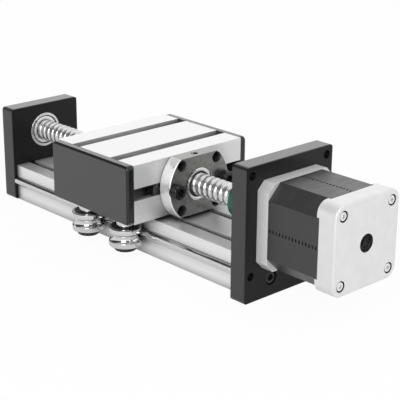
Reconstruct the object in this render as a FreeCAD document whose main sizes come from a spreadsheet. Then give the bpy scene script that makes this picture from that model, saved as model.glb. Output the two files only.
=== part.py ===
import FreeCAD, Part
import os
import re
import Sketcher
from FreeCAD import Placement, Rotation, Vector

# Ball screw linear module: an aluminium base with a polished rod sunk in each
# side, a ball screw between two end plates, a carriage on four grooved rollers
# and a stepper motor. Lengths are millimetres. +X runs from the bearing end to
# the motor, +Z is up, and the origin lies in the middle of the base's underside.

# Driving sizes

SIZES = [
    ("base_length", 240, "base between the two end plates"),
    ("base_width", 54, "base across the travel"),
    ("base_height", 26.5, "base from underside to top"),
    ("base_slot_spacing", 27, "between the two slots on a face of the base"),
    ("base_slot_mouth", 5, "opening of a slot of the base"),
    ("base_slot_chamber", 9, "widest part of a slot of the base"),
    ("base_slot_lip", 1.8, "lip over a slot of the base"),
    ("base_slot_depth", 6.5, "depth of a slot of the base"),
    ("base_web", 3, "wall round the hollow of the base"),
    ("core_spacing", 29.2, "between the screw cores of the base"),
    ("core_height", 12, "screw cores above the underside"),
    ("rod_diameter", 6, "guide rod"),
    ("rod_height", 14.5, "guide rods above the underside"),
    ("rod_chamfer", 0.4, "edge at a rod's end"),
    ("seat_clearance", 0.02, "round a pressed or glued piece"),
    ("thread_clearance", 0.05, "round a thread, in the radius"),
    ("screw_height", 49, "screw and motor axis above the underside"),
    ("screw_diameter", 15.4, "ball screw over its thread"),
    ("screw_shoulder", 13, "shoulder that meets the bearing"),
    ("screw_shoulder_length", 1, "length of that shoulder"),
    ("screw_chamfer", 0.8, "edge at the ends of the thread"),
    ("journal_diameter", 10, "both turned ends of the screw"),
    ("journal_chamfer", 0.5, "edge at the screw's very ends"),
    ("drive_neck", 4, "bare journal before the coupling"),
    ("end_plate_thickness", 12, "bearing end plate"),
    ("end_plate_width", 60, "bearing end plate"),
    ("end_plate_height", 69.5, "bearing end plate"),
    ("plate_corner", 1.5, "rounded corners of both plates"),
    ("plate_edge", 0.4, "broken edges of both plates"),
    ("bearing_outer", 26, "screw bearing, outer diameter"),
    ("bearing_width", 8, "screw bearing"),
    ("bearing_land", 21.8, "bore of the bearing's outer ring"),
    ("bearing_inner_land", 14.2, "outside of the bearing's inner ring"),
    ("bearing_ball", 4.76, "ball of the screw bearing"),
    ("bearing_shield", 0.6, "thickness of a bearing shield"),
    ("bearing_shield_recess", 0.3, "shield below the ring's face"),
    ("race_clearance", 0.07, "ball to race"),
    ("running_clearance", 0.3, "between pieces that turn past each other"),
    ("lock_nut_diameter", 18, "slotted lock nut"),
    ("lock_nut_notch", 3, "notch of the lock nut, across"),
    ("lock_nut_notch_depth", 1.6, "notch of the lock nut"),
    ("lock_nut_hole", 20, "hole round the lock nut"),
    ("motor_plate_thickness", 12, "motor end plate"),
    ("motor_plate_width", 76, "motor end plate"),
    ("motor_plate_height", 87.5, "motor end plate"),
    ("mount_hole", 5.5, "mounting holes of the motor plate"),
    ("mount_hole_side", 5.5, "mounting holes from the plate's sides"),
    ("mount_hole_top", 6, "upper mounting holes below the plate's top"),
    ("mount_hole_height", 17.5, "lower mounting holes above the underside"),
    ("plate_screw", 5, "cap screws that hold the plates on the base"),
    ("plate_screw_head", 8.5, "their head"),
    ("plate_screw_head_height", 5, "their head"),
    ("plate_screw_length", 20, "their shank"),
    ("head_clearance", 0.5, "between a head and its counterbore, in the radius"),
    ("head_recess", 0.6, "head below the plate's face"),
    ("hole_clearance", 0.25, "round a screw in a plain hole, in the radius"),
    ("motor_size", 56.4, "motor across its flats"),
    ("motor_pilot", 38.1, "centring boss of the motor"),
    ("motor_pilot_height", 1.6, "centring boss of the motor"),
    ("front_cap_length", 9, "motor front cap"),
    ("stator_length", 40, "laminated stator"),
    ("rear_cap_length", 12.2, "motor rear cap"),
    ("front_cap_chamfer", 5.4, "cut corners of the front cap"),
    ("stator_chamfer", 9.8, "cut corners of the stator"),
    ("rear_corner", 7.5, "rounded corners of the rear cap"),
    ("rear_edge", 1, "rounded rear edge of the rear cap"),
    ("rear_ear", 1.8, "corners of the rear cap, over the stator's cut corners"),
    ("rear_ear_gap", 0.2, "those corners to the stator"),
    ("rear_hole", 11.5, "hole in the rear cap round the shaft"),
    ("motor_screw", 4, "screws that hold the motor on its plate"),
    ("motor_screw_head", 7.6, "their low head"),
    ("motor_screw_head_height", 2.2, "their low head"),
    ("motor_screw_spacing", 47.14, "square of those screws"),
    ("motor_screw_depth", 4, "their thread in the front cap"),
    ("cap_screw", 3, "long screws through the motor"),
    ("cap_screw_head", 5.5, "their head"),
    ("cap_screw_head_height", 3, "their head"),
    ("cap_screw_spacing", 42.8, "square of the long screws"),
    ("cap_screw_depth", 4, "their thread in the front cap"),
    ("cap_screw_recess", 7, "recess round a long screw's head"),
    ("cap_screw_recess_depth", 4, "recess round a long screw's head"),
    ("shaft_diameter", 8, "motor shaft"),
    ("shaft_reach", 22, "motor shaft out of the motor"),
    ("shaft_end_depth", 4.7, "rear shaft end below the rear face"),
    ("shaft_chamfer", 0.5, "edges at the shaft's ends"),
    ("rotor_diameter", 28, "motor rotor"),
    ("rotor_length", 32, "motor rotor"),
    ("air_gap", 0.25, "rotor to stator"),
    ("motor_bearing_outer", 22, "motor bearings, outer diameter"),
    ("motor_bearing_width", 7, "motor bearings"),
    ("motor_bearing_land", 18.6, "bore of their outer rings"),
    ("motor_bearing_inner", 12.4, "outside of their inner rings"),
    ("coupling_diameter", 25, "jaw coupling"),
    ("coupling_length", 30, "jaw coupling over both hubs"),
    ("coupling_hub", 11, "solid part of each hub"),
    ("coupling_gap", 0.3, "jaw tip to the other hub"),
    ("coupling_edge", 0.5, "chamfer on a hub's rim"),
    ("jaw_inner", 12.4, "jaws of the coupling, inner diameter"),
    ("jaw_angle", 38, "each jaw, in degrees"),
    ("spider_gap_angle", 1, "jaw to spider arm, in degrees"),
    ("spider_bore", 6, "hole in the spider"),
    ("clamp_slit", 1.2, "slit of a clamping hub"),
    ("clamp_screw", 3, "clamp screw of a hub"),
    ("clamp_screw_head", 5.5, "its head"),
    ("clamp_screw_head_height", 3, "its head"),
    ("clamp_screw_offset", 8.5, "clamp screw from the screw axis"),
    ("clamp_screw_seat", 3.5, "its head's seat from the slit"),
    ("clamp_screw_length", 9, "its shank"),
    ("carriage_place", 1, "middle of the carriage at rest"),
    ("carriage_length", 80, "carriage along the travel"),
    ("carriage_height", 40, "carriage from underside to top"),
    ("carriage_overhang", 20.5, "carriage extrusion beyond the base, each side"),
    ("slot_spacing", 40, "between slots on the carriage's top"),
    ("slot_mouth", 8.2, "opening of a carriage slot"),
    ("slot_chamber", 20, "widest part of a carriage slot"),
    ("slot_floor", 8.2, "floor of a carriage slot"),
    ("slot_lip", 4.5, "lip over a carriage slot"),
    ("slot_shoulder", 7.5, "depth where the chamber starts to narrow"),
    ("slot_depth", 12.3, "depth of a carriage slot"),
    ("carriage_core", 6.8, "round cores of the carriage"),
    ("carriage_web", 2.5, "wall of the carriage's middle hollow"),
    ("end_cap_thickness", 5.5, "plastic end cap"),
    ("end_cap_corner", 3, "rounded corners of an end cap"),
    ("end_cap_edge", 1.2, "chamfer round an end cap's face"),
    ("end_cap_peg_length", 9, "pegs of an end cap"),
    ("nut_body", 28, "ball nut, barrel"),
    ("nut_body_length", 40, "ball nut, barrel"),
    ("nut_body_clearance", 0.5, "barrel to the carriage's bore, in the radius"),
    ("nut_flange", 52, "ball nut, flange"),
    ("nut_flange_thickness", 10, "ball nut, flange"),
    ("nut_flats", 40, "across the flange's flats"),
    ("nut_edge", 0.5, "chamfers of the ball nut"),
    ("nut_bolt_edge", 4.35, "flange rim to a bolt's axis"),
    ("nut_hole", 6.6, "holes of the flange"),
    ("nut_recess", 23.4, "seal seat at either end of the nut"),
    ("nut_recess_depth", 2.2, "seal seat at either end of the nut"),
    ("nut_oil_hole", 5, "lubrication hole in the upper flat"),
    ("nut_oil_hole_depth", 7, "lubrication hole in the upper flat"),
    ("seal_thickness", 1.8, "wiper seal"),
    ("nut_screw", 6, "screws through the flange"),
    ("nut_screw_head", 10, "their head"),
    ("nut_screw_head_height", 6, "their head"),
    ("nut_screw_length", 18, "their shank"),
    ("slide_nut_length", 16, "slot nuts along their slot"),
    ("slide_nut_width", 15, "slot nuts across"),
    ("slide_nut_height", 4, "slot nuts, body"),
    ("slide_nut_bevel", 1.5, "slot nuts, cut lower corners"),
    ("slide_nut_neck", 4, "slot nuts, neck in the mouth"),
    ("slide_nut_clearance", 0.2, "slot nut to the slot's mouth, each side"),
    ("slide_nut_shift", 1.45, "flange slot nuts, hole off the middle"),
    ("roller_diameter", 22, "grooved roller"),
    ("roller_width", 13, "grooved roller"),
    ("roller_edge", 0.6, "chamfers of the roller"),
    ("roller_gap", 0.25, "roller groove to rod"),
    ("roller_groove_depth", 2.4, "groove below the roller's rim"),
    ("roller_cavity", 15, "ball space of the roller"),
    ("roller_shield", 0.8, "shield of the roller"),
    ("roller_ring", 10, "inner ring of the roller, outside"),
    ("roller_ring_proud", 0.5, "inner ring beyond the roller, each side"),
    ("axle_diameter", 6, "roller axle screw"),
    ("axle_head", 15, "its flat head"),
    ("axle_head_height", 3, "its flat head"),
    ("axle_tip", 2, "axle screw beyond its slot nut"),
    ("spacer_diameter", 12, "spacer between roller and carriage"),
    ("eccentric_flats", 13, "eccentric spacer across its flats"),
    ("eccentric_collar", 12, "round end of the eccentric spacer"),
    ("eccentric_collar_length", 2, "round end of the eccentric spacer"),
    ("eccentric_offset", 0.5, "bore off the middle of the eccentric spacer"),
]

SCREWED_SIDES = (-1, 1)
BEARING_BALLS = 7
LOCK_NUT_NOTCHES = 4
COUPLING_JAWS = 3
FLANGE_HOLE_ANGLES = (0, 45, 135, 180, 225, 315)

ALIASES = {alias for alias, number, meaning in SIZES}

doc = FreeCAD.newDocument("ball_screw_module")
sheet = doc.addObject("Spreadsheet::Sheet", "sizes")
for row, (alias, number, meaning) in enumerate(SIZES, 1):
    sheet.set(f"A{row}", meaning)
    sheet.set(f"B{row}", str(number))
    sheet.setAlias(f"B{row}", alias)
doc.recompute()

# Places and radii that several pieces share, as expressions on the sheet

END_FACE = "(-base_length / 2)"
END_OUTER = "(-base_length / 2 - end_plate_thickness)"
MOTOR_INNER = "(base_length / 2)"
MOTOR_FACE = "(base_length / 2 + motor_plate_thickness)"
STATOR_START = "(base_length / 2 + motor_plate_thickness + front_cap_length)"
REAR_START = f"({STATOR_START} + stator_length)"
MOTOR_END = f"({REAR_START} + rear_cap_length)"
COUPLING_START = "(base_length / 2 - coupling_length)"
CARRIAGE_FRONT = "(carriage_place + carriage_length / 2)"
CARRIAGE_BOTTOM = "(screw_height - carriage_height / 2)"
CARRIAGE_SIDE = "(base_width / 2 + carriage_overhang)"
BOLT_RADIUS = "(nut_flange / 2 - nut_bolt_edge)"

# Each roller's axis stands off the rod by the groove's radius at its bottom
GROOVE_BOTTOM = "(roller_diameter / 2 - roller_groove_depth)"
ROLLER_OFFSET = f"({GROOVE_BOTTOM} + roller_gap + rod_diameter / 2)"
ROLLER_SIDE = f"(base_width / 2 + {ROLLER_OFFSET})"
RING_HALF = "(roller_width / 2 + roller_ring_proud)"
BALL_CIRCLE = "((bearing_outer + journal_diameter) / 4)"

# Each roller's axis and name
ROLLERS = [
    (f"(carriage_place + {end} * slot_spacing / 2)", f"({side} * {ROLLER_SIDE})",
     f"roller_{end_name}_{side_name}")
    for end, end_name in ((1, "front"), (-1, "rear"))
    for side, side_name in ((-1, "left"), (1, "right"))
]

ALONG_X = Rotation()
AGAINST_X = Rotation(Vector(0, 0, 1), 180)
MOUTH_TO_FRONT = Rotation(Vector(0, 1, 0), -90)

kept_nodes = []


# Sheet and document helpers

def full(expression):
    """Expression in which the sheet's name leads each cell alias."""
    def with_sheet(word):
        return "sizes." + word.group() if word.group() in ALIASES else word.group()
    return re.sub(r"[a-z]\w+", with_sheet, str(expression))


def value(expression):
    """Number that an expression on the sheet has now."""
    return float(sheet.evalExpression(full(expression)))


def bind(target, name, expression):
    """Tie a property to an expression on the sheet."""
    target.setExpression(name, full(expression))


def place(target, x=0, y=0, z=0, turn=ALONG_X):
    """Give an object its rotation and a place tied to the sheet."""
    target.Placement = Placement(Vector(0, 0, 0), turn)
    for name, expression in (("x", x), ("y", y), ("z", z)):
        if expression != 0:
            bind(target, f"Placement.Base.{name}", expression)


def keep(piece, label):
    """Label a finished piece and list it for export as a node."""
    piece.Label = label
    kept_nodes.append(piece)
    return piece


def new_body(name, x=0, y=0, z=0, turn=ALONG_X):
    """Empty body at a place tied to the sheet."""
    body = doc.addObject("PartDesign::Body", name)
    place(body, x, y, z, turn)
    return body


def group(label, piece, places):
    """One node that holds a copy of a piece at each place."""
    copies = []
    for count, spot in enumerate(places, 1):
        copy = doc.addObject("App::Link", f"{label}_copy_{count}")
        copy.LinkedObject = piece
        place(copy, *spot)
        copies.append(copy)
    cluster = doc.addObject("Part::Compound", label)
    cluster.Links = copies
    return keep(cluster, label)


# Sketch helpers

def new_sketch(body, plane, offset=0):
    """Sketch on one of the body's own planes, moved along its normal."""
    sketch = body.newObject("Sketcher::SketchObject", f"{body.Name}_sketch")
    support = next(item for item in body.Origin.OriginFeatures if item.Role == plane)
    sketch.AttachmentSupport = [(support, "")]
    sketch.MapMode = "FlatFace"
    if offset != 0:
        bind(sketch, "AttachmentOffset.Base.z", offset)
    return sketch


def add_limits(sketch, rules):
    """Add dimensional constraints, each tied to its expression."""
    first = sketch.ConstraintCount
    sketch.addConstraint([Sketcher.Constraint(*parts, value(size)) for parts, size in rules])
    for index, (parts, size) in enumerate(rules, first):
        bind(sketch, f"Constraints[{index}]", size)


def add_polygon(sketch, corners):
    """Closed outline through corners that are tied to the sheet."""
    first = sketch.GeometryCount
    points = [Vector(value(across), value(up), 0) for across, up in corners]
    total = len(points)
    for index, point in enumerate(points):
        sketch.addGeometry(Part.LineSegment(point, points[(index + 1) % total]), False)
    sketch.addConstraint([
        Sketcher.Constraint("Coincident", first + index, 2, first + (index + 1) % total, 1)
        for index in range(total)
    ])
    rules = []
    for index, (across, up) in enumerate(corners, first):
        rules.append((("DistanceX", -1, 1, index, 1), across))
        rules.append((("DistanceY", -1, 1, index, 1), up))
    add_limits(sketch, rules)


def add_rectangle(sketch, left, right, low, high):
    """Upright rectangle between four expressions."""
    add_polygon(sketch, [(left, low), (right, low), (right, high), (left, high)])


def add_circle(sketch, across, up, radius):
    """Circle whose centre and radius are tied to the sheet."""
    centre = Vector(value(across), value(up), 0)
    index = sketch.addGeometry(Part.Circle(centre, Vector(0, 0, 1), value(radius)), False)
    add_limits(sketch, [
        (("DistanceX", -1, 1, index, 3), across),
        (("DistanceY", -1, 1, index, 3), up),
        (("Radius", index), radius),
    ])


def add_sector(sketch, inner, outer, angle):
    """Piece of a ring, centred on the sketch's upright axis; angle in degrees."""
    half = value(angle) / 2
    rings = [(inner, 1), (outer, -1)]
    circles = [Part.Circle(Vector(0, 0, 0), Vector(0, 0, 1), value(radius)) for radius, order in rings]
    start, end = (FreeCAD.Units.Quantity(f"{90 + side * half} deg").getValueAs("rad").Value
                  for side in (-1, 1))
    inner_arc, outer_arc = (sketch.addGeometry(Part.ArcOfCircle(circle, start, end), False)
                            for circle in circles)
    right_line, left_line = (
        sketch.addGeometry(Part.LineSegment(circles[0].value(turn), circles[1].value(turn)), False)
        for turn in (start, end)
    )
    for line, point in ((right_line, 1), (left_line, 2)):
        sketch.addConstraint(Sketcher.Constraint("Coincident", line, 1, inner_arc, point))
        sketch.addConstraint(Sketcher.Constraint("Coincident", line, 2, outer_arc, point))
    sketch.addConstraint(Sketcher.Constraint("Coincident", inner_arc, 3, -1, 1))
    sketch.addConstraint(Sketcher.Constraint("Coincident", outer_arc, 3, -1, 1))
    for arc, radius in ((inner_arc, inner), (outer_arc, outer)):
        add_limits(sketch, [
            (("Radius", arc), radius),
            (("DistanceX", -1, 1, arc, 1), f"{radius} * sin({angle} / 2)"),
            (("DistanceX", -1, 1, arc, 2), f"-{radius} * sin({angle} / 2)"),
        ])


def square_corners(spacing):
    """The four places of a square pattern, from the middle."""
    return [(f"{side} * {spacing} / 2", f"{level} * {spacing} / 2")
            for side in (-1, 1) for level in (-1, 1)]


# Feature helpers

def add_pad(body, sketch, length, reverse=False):
    """Raise a sketch along its normal, or against it."""
    pad = body.newObject("PartDesign::Pad", f"{body.Name}_pad")
    pad.Profile = sketch
    pad.Reversed = reverse
    bind(pad, "Length", length)
    return pad


def add_pocket(body, sketch, length=None, reverse=False):
    """Cut a sketch against its normal, along it, or right through both ways."""
    pocket = body.newObject("PartDesign::Pocket", f"{body.Name}_pocket")
    pocket.Profile = sketch
    if length is None:
        pocket.Type = "ThroughAll"
        pocket.SideType = "Symmetric"
    else:
        pocket.Reversed = reverse
        bind(pocket, "Length", length)
    return pocket


def add_turned(body, sketch, axis="H_Axis", kind="Revolution"):
    """Turn a sketch round one of its own axes, to add or to cut."""
    turned = body.newObject(f"PartDesign::{kind}", f"{body.Name}_{kind.lower()}")
    turned.Profile = sketch
    turned.ReferenceAxis = (sketch, [axis])
    turned.Angle = 360
    return turned


def add_polar(body, feature, sketch, count):
    """Repeat a feature round its sketch's normal."""
    pattern = body.newObject("PartDesign::PolarPattern", f"{body.Name}_polar")
    pattern.Originals = [feature]
    pattern.Axis = (sketch, ["N_Axis"])
    pattern.Angle = 360
    pattern.Occurrences = count
    body.Tip = pattern
    return pattern


def add_edge_feature(body, kind, test, sizes):
    """Fillet or chamfer the edges of the body so far that pass a test."""
    doc.recompute()
    base = body.Tip
    names = [f"Edge{index}" for index, edge in enumerate(base.Shape.Edges, 1) if test(edge)]
    feature = body.newObject(f"PartDesign::{kind}", f"{body.Name}_{kind.lower()}")
    feature.Base = (base, names)
    for name, expression in sizes.items():
        bind(feature, name, expression)
    return feature


def runs_along(edge, axis):
    """Whether a straight edge runs along an axis, given by its index."""
    if edge.Curve.TypeId != "Part::GeomLine":
        return False
    return abs(abs(edge.tangentAt(edge.FirstParameter)[axis]) - 1) < 1e-6


def lies_at(edge, axis, level):
    """Whether both ends of an edge lie at a level of an axis."""
    return all(abs(corner.Point[axis] - level) < 1e-4 for corner in edge.Vertexes)


def turned_body(name, corners, x=0, y=0, z=0, turn=ALONG_X, upright=False):
    """Body turned round its own X axis, or its Z axis where it stands upright.

    The corners are (along the axis, radius) pairs.
    """
    body = new_body(name, x, y, z, turn)
    sketch = new_sketch(body, "XZ_Plane")
    if upright:
        corners = [(radius, along) for along, radius in corners]
    add_polygon(sketch, corners)
    add_turned(body, sketch, "V_Axis" if upright else "H_Axis")
    return body


def ring_corners(start, end, inner, outer, edge=0):
    """Section of a ring with its outer edges cut."""
    corners = [(start, inner), (end, inner)]
    if edge == 0:
        return corners + [(end, outer), (start, outer)]
    return corners + [
        (end, f"{outer} - {edge}"), (f"{end} - {edge}", outer),
        (f"{start} + {edge}", outer), (start, f"{outer} - {edge}"),
    ]


def cap_screw_body(name, shank, head, head_height, length):
    """Cap screw along X: its head outward from 0, its shank the other way."""
    corners = [
        (f"-{length}", 0), (head_height, 0), (head_height, f"{head} / 2 - 0.1 * {head_height}"),
        (f"0.9 * {head_height}", f"{head} / 2"), (0, f"{head} / 2"),
        (0, f"{shank} / 2"), (f"-{length} + 0.15 * {shank}", f"{shank} / 2"),
        (f"-{length}", f"0.35 * {shank}"),
    ]
    return turned_body(name, corners)


# Base and guide rods

def slot_corners(centre, edge, inward, step, slot, taper=True):
    """Corners of one T-slot, walked along its edge in the given step.

    inward is +1 or -1, the way the slot goes in from the edge. slot gives the
    mouth, chamber, floor, lip, shoulder and depth as expressions.
    """
    mouth, chamber, floor, lip, shoulder, depth = slot
    half = [(mouth, 0), (mouth, lip), (chamber, lip)]
    half += [(chamber, shoulder), (floor, depth)] if taper else [(chamber, depth)]
    into = [(f"{centre} - {step} * {width} / 2", f"{edge} + {inward} * {deep}")
            for width, deep in half]
    out = [(f"{centre} + {step} * {width} / 2", f"{edge} + {inward} * {deep}")
           for width, deep in reversed(half)]
    return into + out


def build_base():
    """Extruded base with slots above and below, cores, hollow and rod seats."""
    slot = ("base_slot_mouth", "base_slot_chamber", None, "base_slot_lip", None, "base_slot_depth")
    left, right = "-base_slot_spacing / 2", "base_slot_spacing / 2"
    corners = [("-base_width / 2", 0)]
    corners += slot_corners(left, 0, 1, 1, slot, taper=False)
    corners += slot_corners(right, 0, 1, 1, slot, taper=False)
    corners += [("base_width / 2", 0), ("base_width / 2", "base_height")]
    corners += slot_corners(right, "base_height", -1, -1, slot, taper=False)
    corners += slot_corners(left, "base_height", -1, -1, slot, taper=False)
    corners += [("-base_width / 2", "base_height")]
    body = new_body("base")
    outline = new_sketch(body, "YZ_Plane", END_FACE)
    add_polygon(outline, corners)
    add_pad(body, outline, "base_length")
    inside = new_sketch(body, "YZ_Plane", END_FACE)
    for side in (-1, 1):
        add_circle(inside, f"{side} * base_width / 2", "rod_height",
                   "rod_diameter / 2 + seat_clearance")
        add_circle(inside, f"{side} * core_spacing / 2", "core_height",
                   "plate_screw / 2 + thread_clearance")
    hollow = "((base_slot_spacing - base_slot_chamber) / 2 - base_web)"
    add_rectangle(inside, f"-{hollow}", hollow, "base_web", "base_height - base_web")
    add_pocket(body, inside)
    keep(body, "base_profile")
    for side, label in ((-1, "guide_rod_left"), (1, "guide_rod_right")):
        rod = turned_body(
            label,
            ring_corners(END_FACE, MOTOR_INNER, 0, "rod_diameter / 2", "rod_chamfer"),
            y=f"{side} * base_width / 2", z="rod_height",
        )
        keep(rod, label)


# End plates

def build_plate(name, inner, width, height, thickness, outward):
    """Plate with rounded corners; outward is -1 or +1 along X."""
    body = new_body(name)
    face = new_sketch(body, "YZ_Plane", inner)
    add_rectangle(face, f"-{width} / 2", f"{width} / 2", 0, height)
    add_pad(body, face, thickness, reverse=outward < 0)
    add_edge_feature(body, "Fillet", lambda edge: runs_along(edge, 0), {"Radius": "plate_corner"})
    outer = value(f"{inner} + {outward} * {thickness}")
    add_edge_feature(body, "Chamfer", lambda edge: lies_at(edge, 0, outer) or
                     lies_at(edge, 0, value(inner)) and edge.BoundBox.ZMin > value("base_height"),
                     {"Size": "plate_edge"})
    return body


def cut_plate_screw_holes(body, inner, thickness, outward):
    """Counterbored holes for the two screws into the base."""
    through = new_sketch(body, "YZ_Plane", inner)
    bores = new_sketch(body, "YZ_Plane", f"{inner} + {outward} * {thickness}")
    for side in SCREWED_SIDES:
        across = f"{side} * core_spacing / 2"
        add_circle(through, across, "core_height", "plate_screw / 2 + hole_clearance")
        add_circle(bores, across, "core_height", "plate_screw_head / 2 + head_clearance")
    add_pocket(body, through)
    add_pocket(body, bores, "plate_screw_head_height + head_recess", reverse=outward < 0)


def build_end_plate():
    """Bearing plate with its bearing seat and the hole round the lock nut."""
    body = build_plate("end_plate_body", END_FACE, "end_plate_width", "end_plate_height",
                       "end_plate_thickness", -1)
    seat = new_sketch(body, "YZ_Plane", END_FACE)
    add_circle(seat, 0, "screw_height", "bearing_outer / 2 + seat_clearance")
    add_pocket(body, seat, "bearing_width")
    hole = new_sketch(body, "YZ_Plane", END_FACE)
    add_circle(hole, 0, "screw_height", "lock_nut_hole / 2")
    add_pocket(body, hole)
    cut_plate_screw_holes(body, END_FACE, "end_plate_thickness", -1)
    keep(body, "end_plate")


def build_motor_plate():
    """Motor plate with its pilot hole, motor screws and mounting holes."""
    body = build_plate("motor_plate_body", MOTOR_INNER, "motor_plate_width",
                       "motor_plate_height", "motor_plate_thickness", 1)
    holes = new_sketch(body, "YZ_Plane", MOTOR_INNER)
    add_circle(holes, 0, "screw_height", "motor_pilot / 2 + seat_clearance")
    for side in SCREWED_SIDES:
        for height in ("mount_hole_height", "motor_plate_height - mount_hole_top"):
            add_circle(holes, f"{side} * (motor_plate_width / 2 - mount_hole_side)", height,
                       "mount_hole / 2")
    for across, up in square_corners("motor_screw_spacing"):
        add_circle(holes, across, f"screw_height + {up}", "motor_screw / 2 + hole_clearance")
    add_pocket(body, holes)
    bores = new_sketch(body, "YZ_Plane", MOTOR_INNER)
    for across, up in square_corners("motor_screw_spacing"):
        add_circle(bores, across, f"screw_height + {up}", "motor_screw_head / 2 + head_clearance")
    add_pocket(body, bores, "motor_screw_head_height + head_recess", reverse=True)
    cut_plate_screw_holes(body, MOTOR_INNER, "motor_plate_thickness", 1)
    keep(body, "motor_plate")


def build_plate_screws():
    """Screws of both plates and of the motor."""
    screw = cap_screw_body("plate_screw_body", "plate_screw", "plate_screw_head",
                           "plate_screw_head_height", "plate_screw_length")
    sunk = "(plate_screw_head_height + head_recess)"
    group("end_plate_screws", screw, [
        (f"{END_OUTER} + {sunk}", f"{side} * core_spacing / 2", "core_height", AGAINST_X)
        for side in SCREWED_SIDES])
    group("motor_plate_screws", screw, [
        (f"{MOTOR_FACE} - {sunk}", f"{side} * core_spacing / 2", "core_height")
        for side in SCREWED_SIDES])
    seat = f"({MOTOR_INNER} + motor_screw_head_height + head_recess)"
    length = f"({MOTOR_FACE} + motor_screw_depth - {seat})"
    motor_screw = cap_screw_body("motor_screw_body", "motor_screw", "motor_screw_head",
                                 "motor_screw_head_height", length)
    group("motor_mount_screws", motor_screw, [
        (seat, across, f"screw_height + {up}", AGAINST_X)
        for across, up in square_corners("motor_screw_spacing")])


# Screw bearing

def cut_race(body, middle):
    """Groove for the balls of the screw bearing."""
    race = new_sketch(body, "XZ_Plane")
    add_circle(race, middle, BALL_CIRCLE, "bearing_ball / 2 + race_clearance")
    add_turned(body, race, kind="Groove")


def build_screw_bearing():
    """Deep groove ball bearing in the end plate: rings, balls and shields."""
    middle = "bearing_width / 2"
    seat = f"{END_FACE} - bearing_width"
    outer = turned_body(
        "bearing_outer_body",
        ring_corners(0, "bearing_width", "bearing_land / 2", "bearing_outer / 2", "plate_edge"),
        x=seat, z="screw_height")
    cut_race(outer, middle)
    keep(outer, "bearing_outer_ring")
    inner = turned_body(
        "bearing_inner_body",
        ring_corners(0, "bearing_width", "journal_diameter / 2 + seat_clearance",
                     "bearing_inner_land / 2"),
        x=seat, z="screw_height")
    cut_race(inner, middle)
    keep(inner, "bearing_inner_ring")
    ball = turned_ball("bearing_ball_body", "bearing_ball / 2")
    group("bearing_balls", ball, [
        (f"{seat} + {middle}",
         f"{BALL_CIRCLE} * cos(360 * {count} / {BEARING_BALLS})",
         f"screw_height + {BALL_CIRCLE} * sin(360 * {count} / {BEARING_BALLS})")
        for count in range(BEARING_BALLS)])
    shield = turned_body(
        "bearing_shield_body",
        ring_corners(0, "bearing_shield", "bearing_inner_land / 2 + running_clearance",
                     "bearing_land / 2"))
    group("bearing_shields", shield, [
        (f"{seat} + bearing_shield_recess", 0, "screw_height"),
        (f"{END_FACE} - bearing_shield_recess - bearing_shield", 0, "screw_height")])


def turned_ball(name, radius):
    """Ball round the origin of its own body."""
    body = doc.addObject("Part::Sphere", name)
    bind(body, "Radius", radius)
    return body


# Screw and coupling

def build_screw():
    """Turned ball screw; the thread's helix is left to the render."""
    shoulder = f"({END_FACE} + screw_shoulder_length)"
    thread_end = f"({COUPLING_START} - drive_neck)"
    drive_end = f"({COUPLING_START} + coupling_hub)"
    journal, rim = "journal_diameter / 2", "screw_diameter / 2"
    body = turned_body("ball_screw_body", [
        (END_OUTER, 0), (drive_end, 0),
        (drive_end, f"{journal} - journal_chamfer"), (f"{drive_end} - journal_chamfer", journal),
        (thread_end, journal), (thread_end, f"{rim} - screw_chamfer"),
        (f"{thread_end} - screw_chamfer", rim),
        (f"{shoulder} + screw_chamfer", rim), (shoulder, f"{rim} - screw_chamfer"),
        (shoulder, "screw_shoulder / 2"), (END_FACE, "screw_shoulder / 2"),
        (END_FACE, journal), (f"{END_OUTER} + journal_chamfer", journal),
        (END_OUTER, f"{journal} - journal_chamfer"),
    ], z="screw_height")
    keep(body, "ball_screw")
    nut = turned_body(
        "lock_nut_body",
        ring_corners(END_OUTER, f"{END_FACE} - bearing_width",
                     "journal_diameter / 2 + thread_clearance", "lock_nut_diameter / 2",
                     "journal_chamfer"),
        z="screw_height")
    notch = new_sketch(nut, "YZ_Plane", END_OUTER)
    add_rectangle(notch, "-lock_nut_notch / 2", "lock_nut_notch / 2",
                  "lock_nut_diameter / 2 - lock_nut_notch_depth", "lock_nut_diameter / 2 + 1")
    cut = add_pocket(nut, notch)
    add_polar(nut, cut, notch, LOCK_NUT_NOTCHES)
    keep(nut, "lock_nut")


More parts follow.
